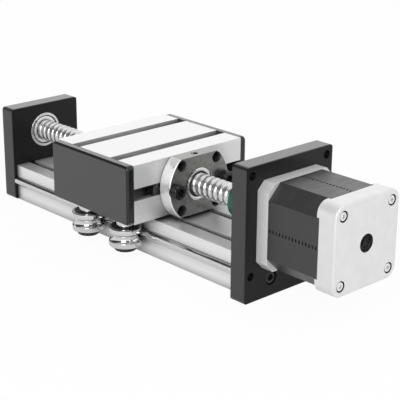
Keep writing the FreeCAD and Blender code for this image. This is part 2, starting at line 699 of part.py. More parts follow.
def build_hub(label, bore, start, outward):
    """Clamping hub of the coupling, its jaws towards -outward along X."""
    inner = f"({start} - {outward} * coupling_hub)"
    low, high = (start, inner) if outward < 0 else (inner, start)
    turn = Rotation(Vector(1, 0, 0), 0 if outward < 0 else 180)
    body = turned_body(
        f"{label}_body",
        ring_corners(low, high, f"{bore} / 2 + seat_clearance", "coupling_diameter / 2",
                     "coupling_edge"),
        z="screw_height", turn=turn)
    jaw_sketch = new_sketch(body, "YZ_Plane", inner)
    add_sector(jaw_sketch, "(jaw_inner / 2)", "(coupling_diameter / 2)", "jaw_angle")
    jaw_length = "(coupling_length - 2 * coupling_hub - coupling_gap)"
    jaw = add_pad(body, jaw_sketch, jaw_length, reverse=outward > 0)
    add_polar(body, jaw, jaw_sketch, COUPLING_JAWS)
    slit = new_sketch(body, "YZ_Plane", start)
    add_rectangle(slit, "-clamp_slit / 2", "clamp_slit / 2", 0, "coupling_diameter / 2 + 1")
    add_pocket(body, slit, "coupling_hub", reverse=outward < 0)
    hub_middle = f"({start} - {outward} * coupling_hub / 2)"
    hole = new_sketch(body, "XZ_Plane")
    add_circle(hole, hub_middle, "clamp_screw_offset", "clamp_screw / 2 + thread_clearance")
    add_pocket(body, hole)
    head = new_sketch(body, "XZ_Plane", "clamp_screw_seat")
    add_circle(head, hub_middle, "clamp_screw_offset", "clamp_screw_head / 2 + hole_clearance")
    add_pocket(body, head, "coupling_diameter / 2", reverse=True)
    keep(body, label)
    return (hub_middle, f"{outward} * clamp_screw_seat",
            f"screw_height - {outward} * clamp_screw_offset", turn * Rotation(Vector(0, 0, 1), -90))


def build_coupling():
    """Jaw coupling: two clamping hubs, the spider between them, two screws."""
    screw_side = build_hub("coupling_screw_hub", "journal_diameter", COUPLING_START, -1)
    motor_side = build_hub("coupling_motor_hub", "shaft_diameter", MOTOR_INNER, 1)
    clamp = cap_screw_body("clamp_screw_body", "clamp_screw", "clamp_screw_head",
                           "clamp_screw_head_height", "clamp_screw_length")
    group("coupling_clamp_screws", clamp, [screw_side, motor_side])
    between_jaws = Rotation(Vector(1, 0, 0), 90 / COUPLING_JAWS)
    spider = new_body("spider_body", x=f"{COUPLING_START} + coupling_hub", z="screw_height",
                      turn=between_jaws)
    ring = new_sketch(spider, "YZ_Plane", "coupling_gap")
    add_circle(ring, 0, 0, "jaw_inner / 2 - coupling_gap")
    add_circle(ring, 0, 0, "spider_bore / 2")
    width = "coupling_length - 2 * coupling_hub - 2 * coupling_gap"
    add_pad(spider, ring, width)
    arm_sketch = new_sketch(spider, "YZ_Plane", "coupling_gap")
    arm_angle = f"(180 / {COUPLING_JAWS} - jaw_angle - spider_gap_angle)"
    add_sector(arm_sketch, "(jaw_inner / 2 - 2 * coupling_gap)",
               "(coupling_diameter / 2 - coupling_gap)", arm_angle)
    arm = add_pad(spider, arm_sketch, width)
    add_polar(spider, arm, arm_sketch, 2 * COUPLING_JAWS)
    keep(spider, "coupling_spider")


# Motor

def octagon(size, cut):
    """Square with cut corners round the motor axis."""
    half, inner = f"{size} / 2", f"({size} / 2 - {cut})"
    return [
        (f"-{inner}", f"-{half}"), (inner, f"-{half}"), (half, f"-{inner}"), (half, inner),
        (inner, half), (f"-{inner}", half), (f"-{half}", inner), (f"-{half}", f"-{inner}"),
    ]


def add_square_holes(sketch, spacing, radius):
    """Circle at each corner of a square pattern."""
    for across, up in square_corners(spacing):
        add_circle(sketch, across, up, radius)


def build_front_cap():
    """Front cap with its boss; its cut corners stand proud of the stator's."""
    body = new_body("front_cap_body", x=MOTOR_FACE, z="screw_height")
    outline = new_sketch(body, "YZ_Plane")
    add_polygon(outline, octagon("motor_size", "front_cap_chamfer"))
    add_pad(body, outline, "front_cap_length")
    pilot = new_sketch(body, "YZ_Plane")
    add_circle(pilot, 0, 0, "motor_pilot / 2")
    add_pad(body, pilot, "motor_pilot_height", reverse=True)
    bore = new_sketch(body, "YZ_Plane")
    add_circle(bore, 0, 0, "shaft_diameter / 2 + running_clearance")
    add_pocket(body, bore)
    seat = new_sketch(body, "YZ_Plane", "front_cap_length")
    add_circle(seat, 0, 0, "motor_bearing_outer / 2 + seat_clearance")
    add_pocket(body, seat, "motor_bearing_width")
    long_holes = new_sketch(body, "YZ_Plane", "front_cap_length")
    add_square_holes(long_holes, "cap_screw_spacing", "cap_screw / 2 + thread_clearance")
    add_pocket(body, long_holes, "cap_screw_depth")
    mount_holes = new_sketch(body, "YZ_Plane")
    add_square_holes(mount_holes, "motor_screw_spacing", "motor_screw / 2 + thread_clearance")
    add_pocket(body, mount_holes, "motor_screw_depth", reverse=True)
    keep(body, "motor_front_cap")


def build_stator():
    """Laminated stator with cut corners, its bore and the long screws' holes."""
    body = new_body("stator_body", x=STATOR_START, z="screw_height")
    outline = new_sketch(body, "YZ_Plane")
    add_polygon(outline, octagon("motor_size", "stator_chamfer"))
    add_circle(outline, 0, 0, "rotor_diameter / 2 + air_gap")
    add_square_holes(outline, "cap_screw_spacing", "cap_screw / 2 + thread_clearance")
    add_pad(body, outline, "stator_length")
    keep(body, "motor_stator")


def build_rear_cap():
    """Rear cap with rounded corners that reach over the stator's cut ones."""
    body = new_body("rear_cap_body", x=REAR_START, z="screw_height")
    outline = new_sketch(body, "YZ_Plane", "-rear_ear")
    half = "motor_size / 2"
    add_rectangle(outline, f"-{half}", half, f"-{half}", half)
    add_pad(body, outline, "rear_cap_length + rear_ear")
    add_edge_feature(body, "Fillet", lambda edge: runs_along(edge, 0), {"Radius": "rear_corner"})
    rear = value("rear_cap_length")
    add_edge_feature(body, "Fillet", lambda edge: lies_at(edge, 0, rear), {"Radius": "rear_edge"})
    over_stator = new_sketch(body, "YZ_Plane")
    spill = "(2 * rear_edge)"
    add_polygon(over_stator, octagon(f"(motor_size + {spill})",
                                     f"(stator_chamfer + {spill} - 2 * rear_ear_gap)"))
    add_pocket(body, over_stator, "rear_ear")
    holes = new_sketch(body, "YZ_Plane")
    add_circle(holes, 0, 0, "rear_hole / 2")
    add_square_holes(holes, "cap_screw_spacing", "cap_screw / 2 + thread_clearance")
    add_pocket(body, holes)
    seat = new_sketch(body, "YZ_Plane")
    add_circle(seat, 0, 0, "motor_bearing_outer / 2 + seat_clearance")
    add_pocket(body, seat, "motor_bearing_width", reverse=True)
    recesses = new_sketch(body, "YZ_Plane", "rear_cap_length")
    add_square_holes(recesses, "cap_screw_spacing", "cap_screw_recess / 2")
    add_pocket(body, recesses, "cap_screw_recess_depth")
    keep(body, "motor_rear_cap")


def build_motor_inside():
    """Long screws, shaft, rotor and the two sealed bearings."""
    seat = f"({MOTOR_END} - cap_screw_recess_depth)"
    screw = cap_screw_body("long_screw_body", "cap_screw", "cap_screw_head",
                           "cap_screw_head_height", f"({seat} - {STATOR_START} + cap_screw_depth)")
    group("motor_cap_screws", screw, [
        (seat, across, f"screw_height + {up}")
        for across, up in square_corners("cap_screw_spacing")])
    shaft = turned_body(
        "shaft_body",
        ring_corners(f"({MOTOR_FACE} - shaft_reach)", f"({MOTOR_END} - shaft_end_depth)", 0,
                     "shaft_diameter / 2", "shaft_chamfer"),
        z="screw_height")
    keep(shaft, "motor_shaft")
    rotor_start = f"({STATOR_START} + (stator_length - rotor_length) / 2)"
    rotor = turned_body(
        "rotor_body",
        ring_corners(rotor_start, f"({rotor_start} + rotor_length)",
                     "shaft_diameter / 2 + seat_clearance", "rotor_diameter / 2"),
        z="screw_height")
    keep(rotor, "motor_rotor")
    spots = [(f"{STATOR_START} - motor_bearing_width", 0, "screw_height"),
             (REAR_START, 0, "screw_height")]
    bore, land = "(motor_bearing_inner / 2 + running_clearance)", "(motor_bearing_land / 2)"
    wall = "bearing_shield"
    outer = turned_body("motor_bearing_outer_body", [
        (0, bore), (wall, bore), (wall, land), (f"motor_bearing_width - {wall}", land),
        (f"motor_bearing_width - {wall}", bore), ("motor_bearing_width", bore),
        ("motor_bearing_width", "motor_bearing_outer / 2"), (0, "motor_bearing_outer / 2"),
    ])
    group("motor_bearing_outer_rings", outer, spots)
    inner = turned_body(
        "motor_bearing_inner_body",
        ring_corners(0, "motor_bearing_width", "shaft_diameter / 2 + seat_clearance",
                     "motor_bearing_inner / 2"))
    group("motor_bearing_inner_rings", inner, spots)


# Carriage

def build_carriage():
    """Carriage cut across from slotted extrusion, bored for the ball nut."""
    slot = ("slot_mouth", "slot_chamber", "slot_floor", "slot_lip", "slot_shoulder", "slot_depth")
    half_length, half_height = "carriage_length / 2", "carriage_height / 2"
    left, right = "-slot_spacing / 2", "slot_spacing / 2"
    corners = [(f"-{half_length}", f"-{half_height}")]
    corners += slot_corners(left, f"-{half_height}", 1, 1, slot)
    corners += slot_corners(right, f"-{half_height}", 1, 1, slot)
    corners += [(half_length, f"-{half_height}")]
    corners += [(along, up) for up, along in slot_corners("0", half_length, -1, 1, slot)]
    corners += [(half_length, half_height)]
    corners += slot_corners(right, half_height, -1, -1, slot)
    corners += slot_corners(left, half_height, -1, -1, slot)
    corners += [(f"-{half_length}", half_height)]
    corners += [(along, up) for up, along in slot_corners("0", f"-{half_length}", 1, -1, slot)]
    body = new_body("carriage_body", x="carriage_place", z="screw_height")
    outline = new_sketch(body, "XZ_Plane", f"-{CARRIAGE_SIDE}")
    add_polygon(outline, corners)
    for side in (-1, 1):
        add_circle(outline, f"{side} * slot_spacing / 2", 0, "carriage_core / 2")
    add_pad(body, outline, f"2 * {CARRIAGE_SIDE}")
    hollow = new_sketch(body, "XZ_Plane")
    wide = "((slot_spacing - slot_chamber) / 2 - carriage_web)"
    tall = "(carriage_height / 2 - slot_lip + 1)"
    add_rectangle(hollow, f"-{wide}", wide, f"-{tall}", tall)
    add_pocket(body, hollow)
    bore = new_sketch(body, "YZ_Plane")
    add_circle(bore, 0, 0, "nut_body / 2 + nut_body_clearance")
    add_pocket(body, bore)
    keep(body, "carriage_extrusion")


def build_end_caps():
    """Plastic caps with a bevelled face and two pegs, one on either side."""
    for side, label in ((-1, "end_cap_left"), (1, "end_cap_right")):
        turn = ALONG_X if side < 0 else AGAINST_X
        body = new_body(f"{label}_body", "carriage_place", f"{side} * {CARRIAGE_SIDE}",
                        "screw_height", turn)
        face = new_sketch(body, "XZ_Plane")
        add_rectangle(face, "-carriage_length / 2", "carriage_length / 2",
                      "-carriage_height / 2", "carriage_height / 2")
        add_pad(body, face, "end_cap_thickness")
        add_edge_feature(body, "Fillet", lambda edge: runs_along(edge, 1),
                         {"Radius": "end_cap_corner"})
        outer = -value("end_cap_thickness")
        add_edge_feature(body, "Chamfer", lambda edge: lies_at(edge, 1, outer),
                         {"Size": "end_cap_edge"})
        pegs = new_sketch(body, "XZ_Plane")
        for end in (-1, 1):
            add_circle(pegs, f"{end} * slot_spacing / 2", 0, "carriage_core / 2 - seat_clearance")
        add_pad(body, pegs, "end_cap_peg_length", reverse=True)
        keep(body, label)


# Ball nut

def build_ball_nut():
    """Flanged ball nut with two flats, six holes and a lubrication hole."""
    bore = "(screw_diameter / 2 + running_clearance)"
    barrel, rim, recess = "nut_body / 2", "nut_flange / 2", "nut_recess / 2"
    rear, front = "(-nut_body_length)", "nut_flange_thickness"
    body = turned_body("ball_nut_body", [
        (f"{rear} + nut_recess_depth", bore), (f"{front} - nut_recess_depth", bore),
        (f"{front} - nut_recess_depth", recess), (front, recess),
        (front, f"{rim} - nut_edge"), (f"{front} - nut_edge", rim),
        ("nut_edge", rim), (0, f"{rim} - nut_edge"),
        (0, barrel), (f"{rear} + nut_edge", barrel), (rear, f"{barrel} - nut_edge"),
        (rear, recess), (f"{rear} + nut_recess_depth", recess),
    ], x=CARRIAGE_FRONT, z="screw_height")
    flats = new_sketch(body, "YZ_Plane", front)
    for side in (-1, 1):
        low, high = sorted((f"{side} * nut_flats / 2", f"{side} * (nut_flange / 2 + 1)"), key=value)
        add_rectangle(flats, "-nut_flange / 2", "nut_flange / 2", low, high)
    add_pocket(body, flats, "nut_flange_thickness")
    holes = new_sketch(body, "YZ_Plane", front)
    for angle in FLANGE_HOLE_ANGLES:
        add_circle(holes, f"{BOLT_RADIUS} * cos({angle})", f"{BOLT_RADIUS} * sin({angle})",
                   "nut_hole / 2")
    add_pocket(body, holes, "nut_flange_thickness")
    oil = new_sketch(body, "XY_Plane", "nut_flats / 2")
    add_circle(oil, "nut_flange_thickness / 2", 0, "nut_oil_hole / 2")
    add_pocket(body, oil, "nut_oil_hole_depth")
    keep(body, "ball_nut")
    seal = turned_body(
        "seal_body",
        ring_corners(0, "seal_thickness", bore, "nut_recess / 2 - seat_clearance"))
    group("nut_seals", seal, [
        (f"{CARRIAGE_FRONT} + {front} - nut_recess_depth", 0, "screw_height"),
        (f"{CARRIAGE_FRONT} + {rear} + nut_recess_depth", 0, "screw_height", AGAINST_X)])
    screw = cap_screw_body("nut_screw_body", "nut_screw", "nut_screw_head",
                           "nut_screw_head_height", "nut_screw_length")
    group("nut_screws", screw, [
        (f"{CARRIAGE_FRONT} + {front}", f"{side} * {BOLT_RADIUS}", "screw_height")
        for side in SCREWED_SIDES])


# Slot nuts

def slide_nut_body(name, thread, shift):
    """Slot nut along Y, its neck down; the thread's hole is at the origin."""
    body = new_body(name)
    section = new_sketch(body, "XZ_Plane", f"-slide_nut_length / 2 - {shift}")
    neck = "(slot_mouth / 2 - slide_nut_clearance)"
    wide = "slide_nut_width / 2"
    top = "slide_nut_height"
    add_polygon(section, [
        (f"-{neck}", "-slide_nut_neck"), (neck, "-slide_nut_neck"), (neck, 0), (wide, 0),
        (wide, f"{top} - slide_nut_bevel"), (f"{wide} - slide_nut_bevel", top),
        (f"-{wide} + slide_nut_bevel", top), (f"-{wide}", f"{top} - slide_nut_bevel"),
        (f"-{wide}", 0), (f"-{neck}", 0),
    ])
    add_pad(body, section, "slide_nut_length")
    hole = new_sketch(body, "XY_Plane")
    add_circle(hole, 0, 0, f"{thread} / 2 + thread_clearance")
    add_pocket(body, hole)
    return body


def build_slide_nuts():
    """Slot nuts for the ball nut's flange and for the roller axles."""
    seat = f"{CARRIAGE_FRONT} - slot_lip"
    flip = Rotation(Vector(1, 0, 0), 180) * MOUTH_TO_FRONT
    flange_nut = slide_nut_body("flange_slide_nut_body", "nut_screw", "slide_nut_shift")
    group("nut_slide_nuts", flange_nut, [
        (seat, BOLT_RADIUS, "screw_height", MOUTH_TO_FRONT),
        (seat, f"-{BOLT_RADIUS}", "screw_height", flip)])
    roller_nut = slide_nut_body("roller_slide_nut_body", "axle_diameter", 0)
    group("roller_slide_nuts", roller_nut, [
        (x, y, f"{CARRIAGE_BOTTOM} + slot_lip") for x, y, label in ROLLERS])


# Rollers

def build_roller(x, y, label):
    """Grooved roller whose groove clears the rod by the same gap all round."""
    half, rim = "(roller_width / 2)", "(roller_diameter / 2)"
    bore, cavity = "(roller_ring / 2 + running_clearance)", "(roller_cavity / 2)"
    inside = f"({half} - roller_shield)"
    body = turned_body(f"{label}_body", [
        (f"-{half}", bore), (f"-{inside}", bore), (f"-{inside}", cavity), (inside, cavity),
        (inside, bore), (half, bore), (half, f"{rim} - roller_edge"),
        (f"{half} - roller_edge", rim), (f"-{half} + roller_edge", rim),
        (f"-{half}", f"{rim} - roller_edge"),
    ], x=x, y=y, z="rod_height", upright=True)
    groove = new_sketch(body, "XZ_Plane")
    add_circle(groove, ROLLER_OFFSET, 0, "rod_diameter / 2 + roller_gap")
    add_turned(body, groove, "V_Axis", "Groove")
    keep(body, label)


def build_rollers():
    """The four rollers with their inner rings, axle screws and spacers."""
    for x, y, label in ROLLERS:
        build_roller(x, y, label)
    spots = [(x, y, "rod_height") for x, y, label in ROLLERS]
    hole = "axle_diameter / 2 + seat_clearance"
    ring = turned_body(
        "roller_ring_body",
        ring_corners(f"-{RING_HALF}", RING_HALF, hole, "roller_ring / 2"), upright=True)
    group("roller_inner_rings", ring, spots)
    tip = f"({CARRIAGE_BOTTOM} + slot_lip + slide_nut_height + axle_tip - rod_height)"
    head_top, head_low = f"-{RING_HALF}", f"(-{RING_HALF} - axle_head_height)"
    axle = turned_body("axle_body", [
        (tip, 0), (head_low, 0), (head_low, "axle_head / 2 - roller_edge"),
        (f"{head_low} + roller_edge", "axle_head / 2"), (head_top, "axle_head / 2"),
        (head_top, "axle_diameter / 2"), (f"{tip} - roller_edge", "axle_diameter / 2"),
        (tip, "axle_diameter / 2 - roller_edge"),
    ], upright=True)
    group("roller_axles", axle, spots)
    underside = f"({CARRIAGE_BOTTOM} - rod_height)"
    spacer = turned_body(
        "spacer_body",
        ring_corners(RING_HALF, underside, hole, "spacer_diameter / 2", "plate_edge"),
        upright=True)
    group("roller_spacers", spacer, spots[0::2])
    eccentric = build_eccentric(hole, underside)
    group("roller_eccentrics", eccentric, spots[1::2])


def build_eccentric(hole, underside):
    """Eccentric spacer: hexagon with a round end, its bore off the middle."""
    body = new_body("eccentric_body")
    flats = new_sketch(body, "XY_Plane", RING_HALF)
    corner = "(eccentric_flats / 2 / cos(30))"
    add_polygon(flats, [
        (f"{corner} * cos({60 * count}) + eccentric_offset", f"{corner} * sin({60 * count})")
        for count in range(6)])
    add_pad(body, flats, f"{underside} - {RING_HALF} - eccentric_collar_length")
    collar = new_sketch(body, "XY_Plane", underside)
    add_circle(collar, "eccentric_offset", 0, "eccentric_collar / 2")
    add_pad(body, collar, "eccentric_collar_length", reverse=True)
    bore = new_sketch(body, "XY_Plane")
    add_circle(bore, 0, 0, hole)
    add_pocket(body, bore)
    return body


# Build, check and export

def check_document():
    """Stop with a message where an object failed or a node has no sound shape."""
    failed = [item.Name for item in doc.Objects if {"Invalid", "Error"} & set(item.State)]
    failed += [piece.Label for piece in kept_nodes
               if piece.Shape.isNull() or not piece.Shape.isValid() or not piece.Shape.Solids]
    if failed:
        raise RuntimeError(f"failed objects: {failed}")


def export_nodes():
    """Write each node to a STEP file that has its name."""
    os.makedirs("parts", exist_ok=True)
    for piece in kept_nodes:
        piece.Shape.exportStep(f"parts/{piece.Label}.step")


build_base()
build_end_plate()
build_motor_plate()
build_plate_screws()
build_screw_bearing()
build_screw()
build_coupling()
build_front_cap()
build_stator()
build_rear_cap()
build_motor_inside()
build_carriage()
build_end_caps()
build_ball_nut()
build_slide_nuts()
build_rollers()
doc.recompute()
check_document()
export_nodes()
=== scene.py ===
"""Ball screw linear module: finishes, thread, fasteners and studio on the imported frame."""

import logging
import math
from collections.abc import Callable, Iterator
from contextlib import contextmanager
from dataclasses import dataclass
from enum import Enum

import bpy
from mathutils import Matrix, Vector


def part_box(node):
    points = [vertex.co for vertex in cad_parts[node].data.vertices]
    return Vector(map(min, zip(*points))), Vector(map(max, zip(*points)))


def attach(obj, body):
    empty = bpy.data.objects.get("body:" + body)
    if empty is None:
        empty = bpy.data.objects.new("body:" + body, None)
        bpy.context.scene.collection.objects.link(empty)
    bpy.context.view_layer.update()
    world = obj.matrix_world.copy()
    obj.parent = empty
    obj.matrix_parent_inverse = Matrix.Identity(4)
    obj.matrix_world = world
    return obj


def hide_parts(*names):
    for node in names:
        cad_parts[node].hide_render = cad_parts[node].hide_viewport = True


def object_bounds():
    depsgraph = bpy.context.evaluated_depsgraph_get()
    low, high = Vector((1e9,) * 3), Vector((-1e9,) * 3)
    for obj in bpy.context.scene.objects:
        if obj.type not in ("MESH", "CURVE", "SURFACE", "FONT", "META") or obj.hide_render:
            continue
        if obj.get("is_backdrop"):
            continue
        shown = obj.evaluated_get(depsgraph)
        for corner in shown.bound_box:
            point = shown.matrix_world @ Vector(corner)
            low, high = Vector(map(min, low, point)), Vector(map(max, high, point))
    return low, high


LOG = logging.getLogger("linear_module")
MM = 0.001
# Length after which a wave texture of scale 1 repeats.
WAVE_PERIOD = math.pi / 10
# A face this close to a height lies at it.
NEAR = 0.1 * MM
# Span of a noise texture's values, which seldom go past it.
NOISE_LOW, NOISE_HIGH = 0.3, 0.7

Point = tuple[float, float, float]
Profile = list[tuple[float, float]]
Colour = tuple[float, float, float, float]
Piece = bpy.types.Object
Face = bpy.types.MeshPolygon
Tree = bpy.types.NodeTree
Socket = bpy.types.NodeSocket

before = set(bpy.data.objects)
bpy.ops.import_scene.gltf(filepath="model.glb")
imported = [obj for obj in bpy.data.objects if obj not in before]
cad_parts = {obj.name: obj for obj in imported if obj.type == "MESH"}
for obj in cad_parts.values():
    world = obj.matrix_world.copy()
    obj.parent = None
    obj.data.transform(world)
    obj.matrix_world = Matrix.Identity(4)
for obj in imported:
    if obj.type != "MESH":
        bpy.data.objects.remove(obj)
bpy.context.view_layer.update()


class Axis(Enum):
    """Axes of the frame, by index."""

    X = 0
    Y = 1
    Z = 2

    @property
    def upright_to_axis(self) -> Matrix:
        """Rotation that lays a piece made along Z on this axis."""
        upright, along = (Matrix.Identity(3)[index] for index in (Axis.Z.value, self.value))
        return upright.rotation_difference(along).to_matrix().to_4x4()


class Body(Enum):
    """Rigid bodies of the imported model."""

    BASE = "base"
    SCREW = "screw"
    CARRIAGE = "carriage"
    FRONT_LEFT = "roller_front_left"
    FRONT_RIGHT = "roller_front_right"
    REAR_LEFT = "roller_rear_left"
    REAR_RIGHT = "roller_rear_right"


# Shader helpers

def linear(code: str) -> Colour:
    """Turn an sRGB hex colour into the linear values that a shader takes.

    Args:
        code: Six hex digits with a leading #.

    Returns:
        Linear red, green, blue and full alpha.
    """
    def channel(part: str) -> float:
        """One sRGB channel as a linear value."""
        share = int(part, 16) / 255
        return share / 12.92 if share <= 0.04045 else ((share + 0.055) / 1.055) ** 2.4

    red, green, blue = (channel(code[start:start + 2]) for start in (1, 3, 5))
    return red, green, blue, 1.0


def grey(level: float) -> Colour:
    """Neutral linear colour of a level."""
    return level, level, level, 1.0


def add_node(tree: Tree, kind: str, settings: dict | None = None, values: dict | None = None,
             links: dict | None = None) -> bpy.types.Node:
    """Add a node with its settings, input values and links.

    Args:
        tree: Node tree that gets it.
        kind: Node type, such as ShaderNodeBump.
        settings: Its properties by name.
        values: Values of its inputs, by name or index.
        links: Sockets that feed its inputs, by name or index.

    Returns:
        The new node.
    """
    node = tree.nodes.new(kind)
    for name, value in (settings or {}).items():
        setattr(node, name, value)
    for name, value in (values or {}).items():
        node.inputs[name].default_value = value
    for name, socket in (links or {}).items():
        tree.links.new(socket, node.inputs[name])
    return node


@dataclass(frozen=True)
class Coat:
    """The nodes of one finish's material, and the marks that its surface can carry."""

    finish: "Finish"
    tree: Tree

    @property
    def shader(self) -> bpy.types.Node:
        """Shader that every mark feeds."""
        return self.tree.nodes["Principled BSDF"]

    def grain(self, size_mm: Point, detail: float = 3.0) -> Socket:
        """Noise whose grains have a real size along each axis.

        Args:
            size_mm: Size of a grain along X, Y and Z in millimetres.
            detail: Octaves of finer grain.

        Returns:
            The noise value, 0 to 1.
        """
        where = add_node(self.tree, "ShaderNodeTexCoord")
        scale = tuple(1 / (size * MM) for size in size_mm)
        spread = add_node(self.tree, "ShaderNodeMapping", values={"Scale": scale},
                          links={"Vector": where.outputs["Object"]})
        noise = add_node(self.tree, "ShaderNodeTexNoise",
                         values={"Scale": 1.0, "Detail": detail},
                         links={"Vector": spread.outputs["Vector"]})
        return noise.outputs["Fac"]

    def sheen(self, source: Socket, below: float, above: float) -> None:
        """Spread the roughness with noise.

        Args:
            source: Noise that drives it.
            below: How far it falls below the finish's roughness.
            above: How far it rises above it.
        """
        level = self.finish.roughness
        spread = add_node(self.tree, "ShaderNodeMapRange",
                          values={"From Min": NOISE_LOW, "From Max": NOISE_HIGH,
                                  "To Min": level - below, "To Max": level + above},
                          links={"Value": source})
        self.tree.links.new(spread.outputs["Result"], self.shader.inputs["Roughness"])

    def tint(self, source: Socket, other: str,
             between: tuple[float, float] = (0.35, 0.65)) -> None:
        """Blend the base colour towards another where the noise is high.

        Args:
            source: Noise that drives it.
            other: The other colour, as an sRGB hex code.
            between: Noise at which the blend starts and ends.
        """
        ramp = add_node(self.tree, "ShaderNodeValToRGB", links={"Fac": source})
        low, high = ramp.color_ramp.elements
        low.position, high.position = between
        low.color, high.color = linear(self.finish.colour), linear(other)
        self.tree.links.new(ramp.outputs["Color"], self.shader.inputs["Base Color"])

    def bump(self, height: Socket, depth_mm: float, strength: float) -> None:
        """Raise the surface by a height of 0 to 1, of which 1 is the depth."""
        raised = add_node(self.tree, "ShaderNodeBump",
                          values={"Strength": strength, "Distance": depth_mm * MM},
                          links={"Height": height})
        self.tree.links.new(raised.outputs["Normal"], self.shader.inputs["Normal"])


@dataclass(frozen=True)
class Finish:
    """A surface finish: what the real surface is made of and how it was worked."""

    name: str
    colour: str
    metallic: float = 1.0
    roughness: float = 0.3
    ior: float = 1.5

    def material(self) -> bpy.types.Material:
        """Material of this finish, built on its first use.

        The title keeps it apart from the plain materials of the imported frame.

        Returns:
            The one material of this finish.
        """
        title = f"finish_{self.name}"
        found = bpy.data.materials.get(title)
        if found is not None:
            return found
        made = bpy.data.materials.new(title)
        made.use_nodes = True
        made.diffuse_color = linear(self.colour)
        coat = Coat(self, made.node_tree)
        inputs = coat.shader.inputs
        inputs["Base Color"].default_value = linear(self.colour)
        inputs["Metallic"].default_value = self.metallic
        inputs["Roughness"].default_value = self.roughness
        if self.metallic < 0.5:
            inputs["IOR"].default_value = self.ior
        self.work_surface(coat)
        return made

    def work_surface(self, coat: Coat) -> None:
        """Add the marks of this finish; each kind of finish has its own."""


@dataclass(frozen=True)
class ExtrudedAluminium(Finish):
    """Clear anodised extrusion: silky, faint die lines along its run, painted shade in its grooves.
    """

    line_colour: str = "#eaeaeb"
    run: Axis = Axis.X
    line_mm: float = 0.5
    run_mm: float = 160.0
    # How far the painted groove shade reaches.
    groove_mm: float = 6.0

    def work_surface(self, coat: Coat) -> None:
        """Die lines stretched along the extrusion, and painted shade that darkens the grooves."""
        size = tuple(self.run_mm if axis is self.run else self.line_mm for axis in Axis)
        lines = coat.grain(size, detail=4.0)
        coat.sheen(lines, below=0.05, above=0.06)
        coat.tint(lines, self.line_colour)
        coat.bump(lines, depth_mm=0.02, strength=0.2)
        # Painted shade: ambient occlusion darkens the base colour in grooves and corners.
        base = coat.shader.inputs["Base Color"]
        painted_groove_shade = add_node(coat.tree, "ShaderNodeAmbientOcclusion", {"samples": 8},
                              {"Distance": self.groove_mm * MM},
                              {"Color": base.links[0].from_socket})
        coat.tree.links.new(painted_groove_shade.outputs["Color"], base)


@dataclass(frozen=True)
class BlackAnodised(Finish):
    """Milled plate, blasted and dyed black: dark satin with a very fine grain."""

    grit_mm: float = 0.35

    def work_surface(self, coat: Coat) -> None:
        """Blasted grain in relief and sheen."""
        grit = coat.grain((self.grit_mm,) * 3)
        coat.sheen(grit, below=0.04, above=0.06)
        coat.bump(grit, depth_mm=0.01, strength=0.2)


@dataclass(frozen=True)
class PolishedSteel(Finish):
    """Hardened steel, ground and polished: mirror-like, with a faint haze."""

    haze_mm: float = 6.0

    def work_surface(self, coat: Coat) -> None:
        """Slight haze left by handling oil."""
        haze = coat.grain((self.haze_mm,) * 3)
        coat.sheen(haze, below=0.3 * self.roughness, above=0.5 * self.roughness)


@dataclass(frozen=True)
class GroundSteel(Finish):
    """Ground bearing steel: grey, slightly mottled, with turned rings on its face."""

    mottle_colour: str = "#8f8f8d"
    mottle_mm: float = 2.4
    ring_mm: float = 0.6032
    height_mm: float = 49.0

    def work_surface(self, coat: Coat) -> None:
        """Mottled tone and rings round the screw's axis, drawn coarse enough to show."""
        mottle = coat.grain((2 * self.mottle_mm, self.mottle_mm, self.mottle_mm), detail=5.0)
        coat.tint(mottle, self.mottle_colour, between=(0.3, 0.72))
        coat.sheen(mottle, below=0.07, above=0.12)
        where = add_node(coat.tree, "ShaderNodeTexCoord")
        centred = add_node(coat.tree, "ShaderNodeMapping",
                           values={"Location": (0, 0, -self.height_mm * MM)},
                           links={"Vector": where.outputs["Object"]})
        rings = add_node(coat.tree, "ShaderNodeTexWave",
                         {"wave_type": "RINGS", "rings_direction": "X"},
                         {"Scale": WAVE_PERIOD / (self.ring_mm * MM), "Distortion": 0.6,
                          "Detail": 2.0, "Detail Scale": 2.0},
                         {"Vector": centred.outputs["Vector"]})
        coat.bump(rings.outputs["Fac"], depth_mm=0.02, strength=0.25)


@dataclass(frozen=True)
class BlackOxide(Finish):
    """Black oxide on a cold-formed screw: near black with an oily sheen."""

    film_colour: str = "#4c4c4d"
    film_mm: float = 1.2

    def work_surface(self, coat: Coat) -> None:
        """Patchy oil film."""
        film = coat.grain((self.film_mm,) * 3)
        coat.sheen(film, below=0.08, above=0.12)
        coat.tint(film, self.film_colour)


@dataclass(frozen=True)
class DieCastAluminium(Finish):
    """Die cast cap, blasted and lacquered silver: pale, matte, fine pebbled."""

    cloud_colour: str = "#dadadb"
    cloud_mm: float = 7.0
    pebble_mm: float = 0.5

    def work_surface(self, coat: Coat) -> None:
        """Pebbled skin with slight clouding."""
        coat.tint(coat.grain((self.cloud_mm,) * 3), self.cloud_colour)
        pebble = coat.grain((self.pebble_mm,) * 3)
        coat.sheen(pebble, below=0.05, above=0.08)
        coat.bump(pebble, depth_mm=0.04, strength=0.35)


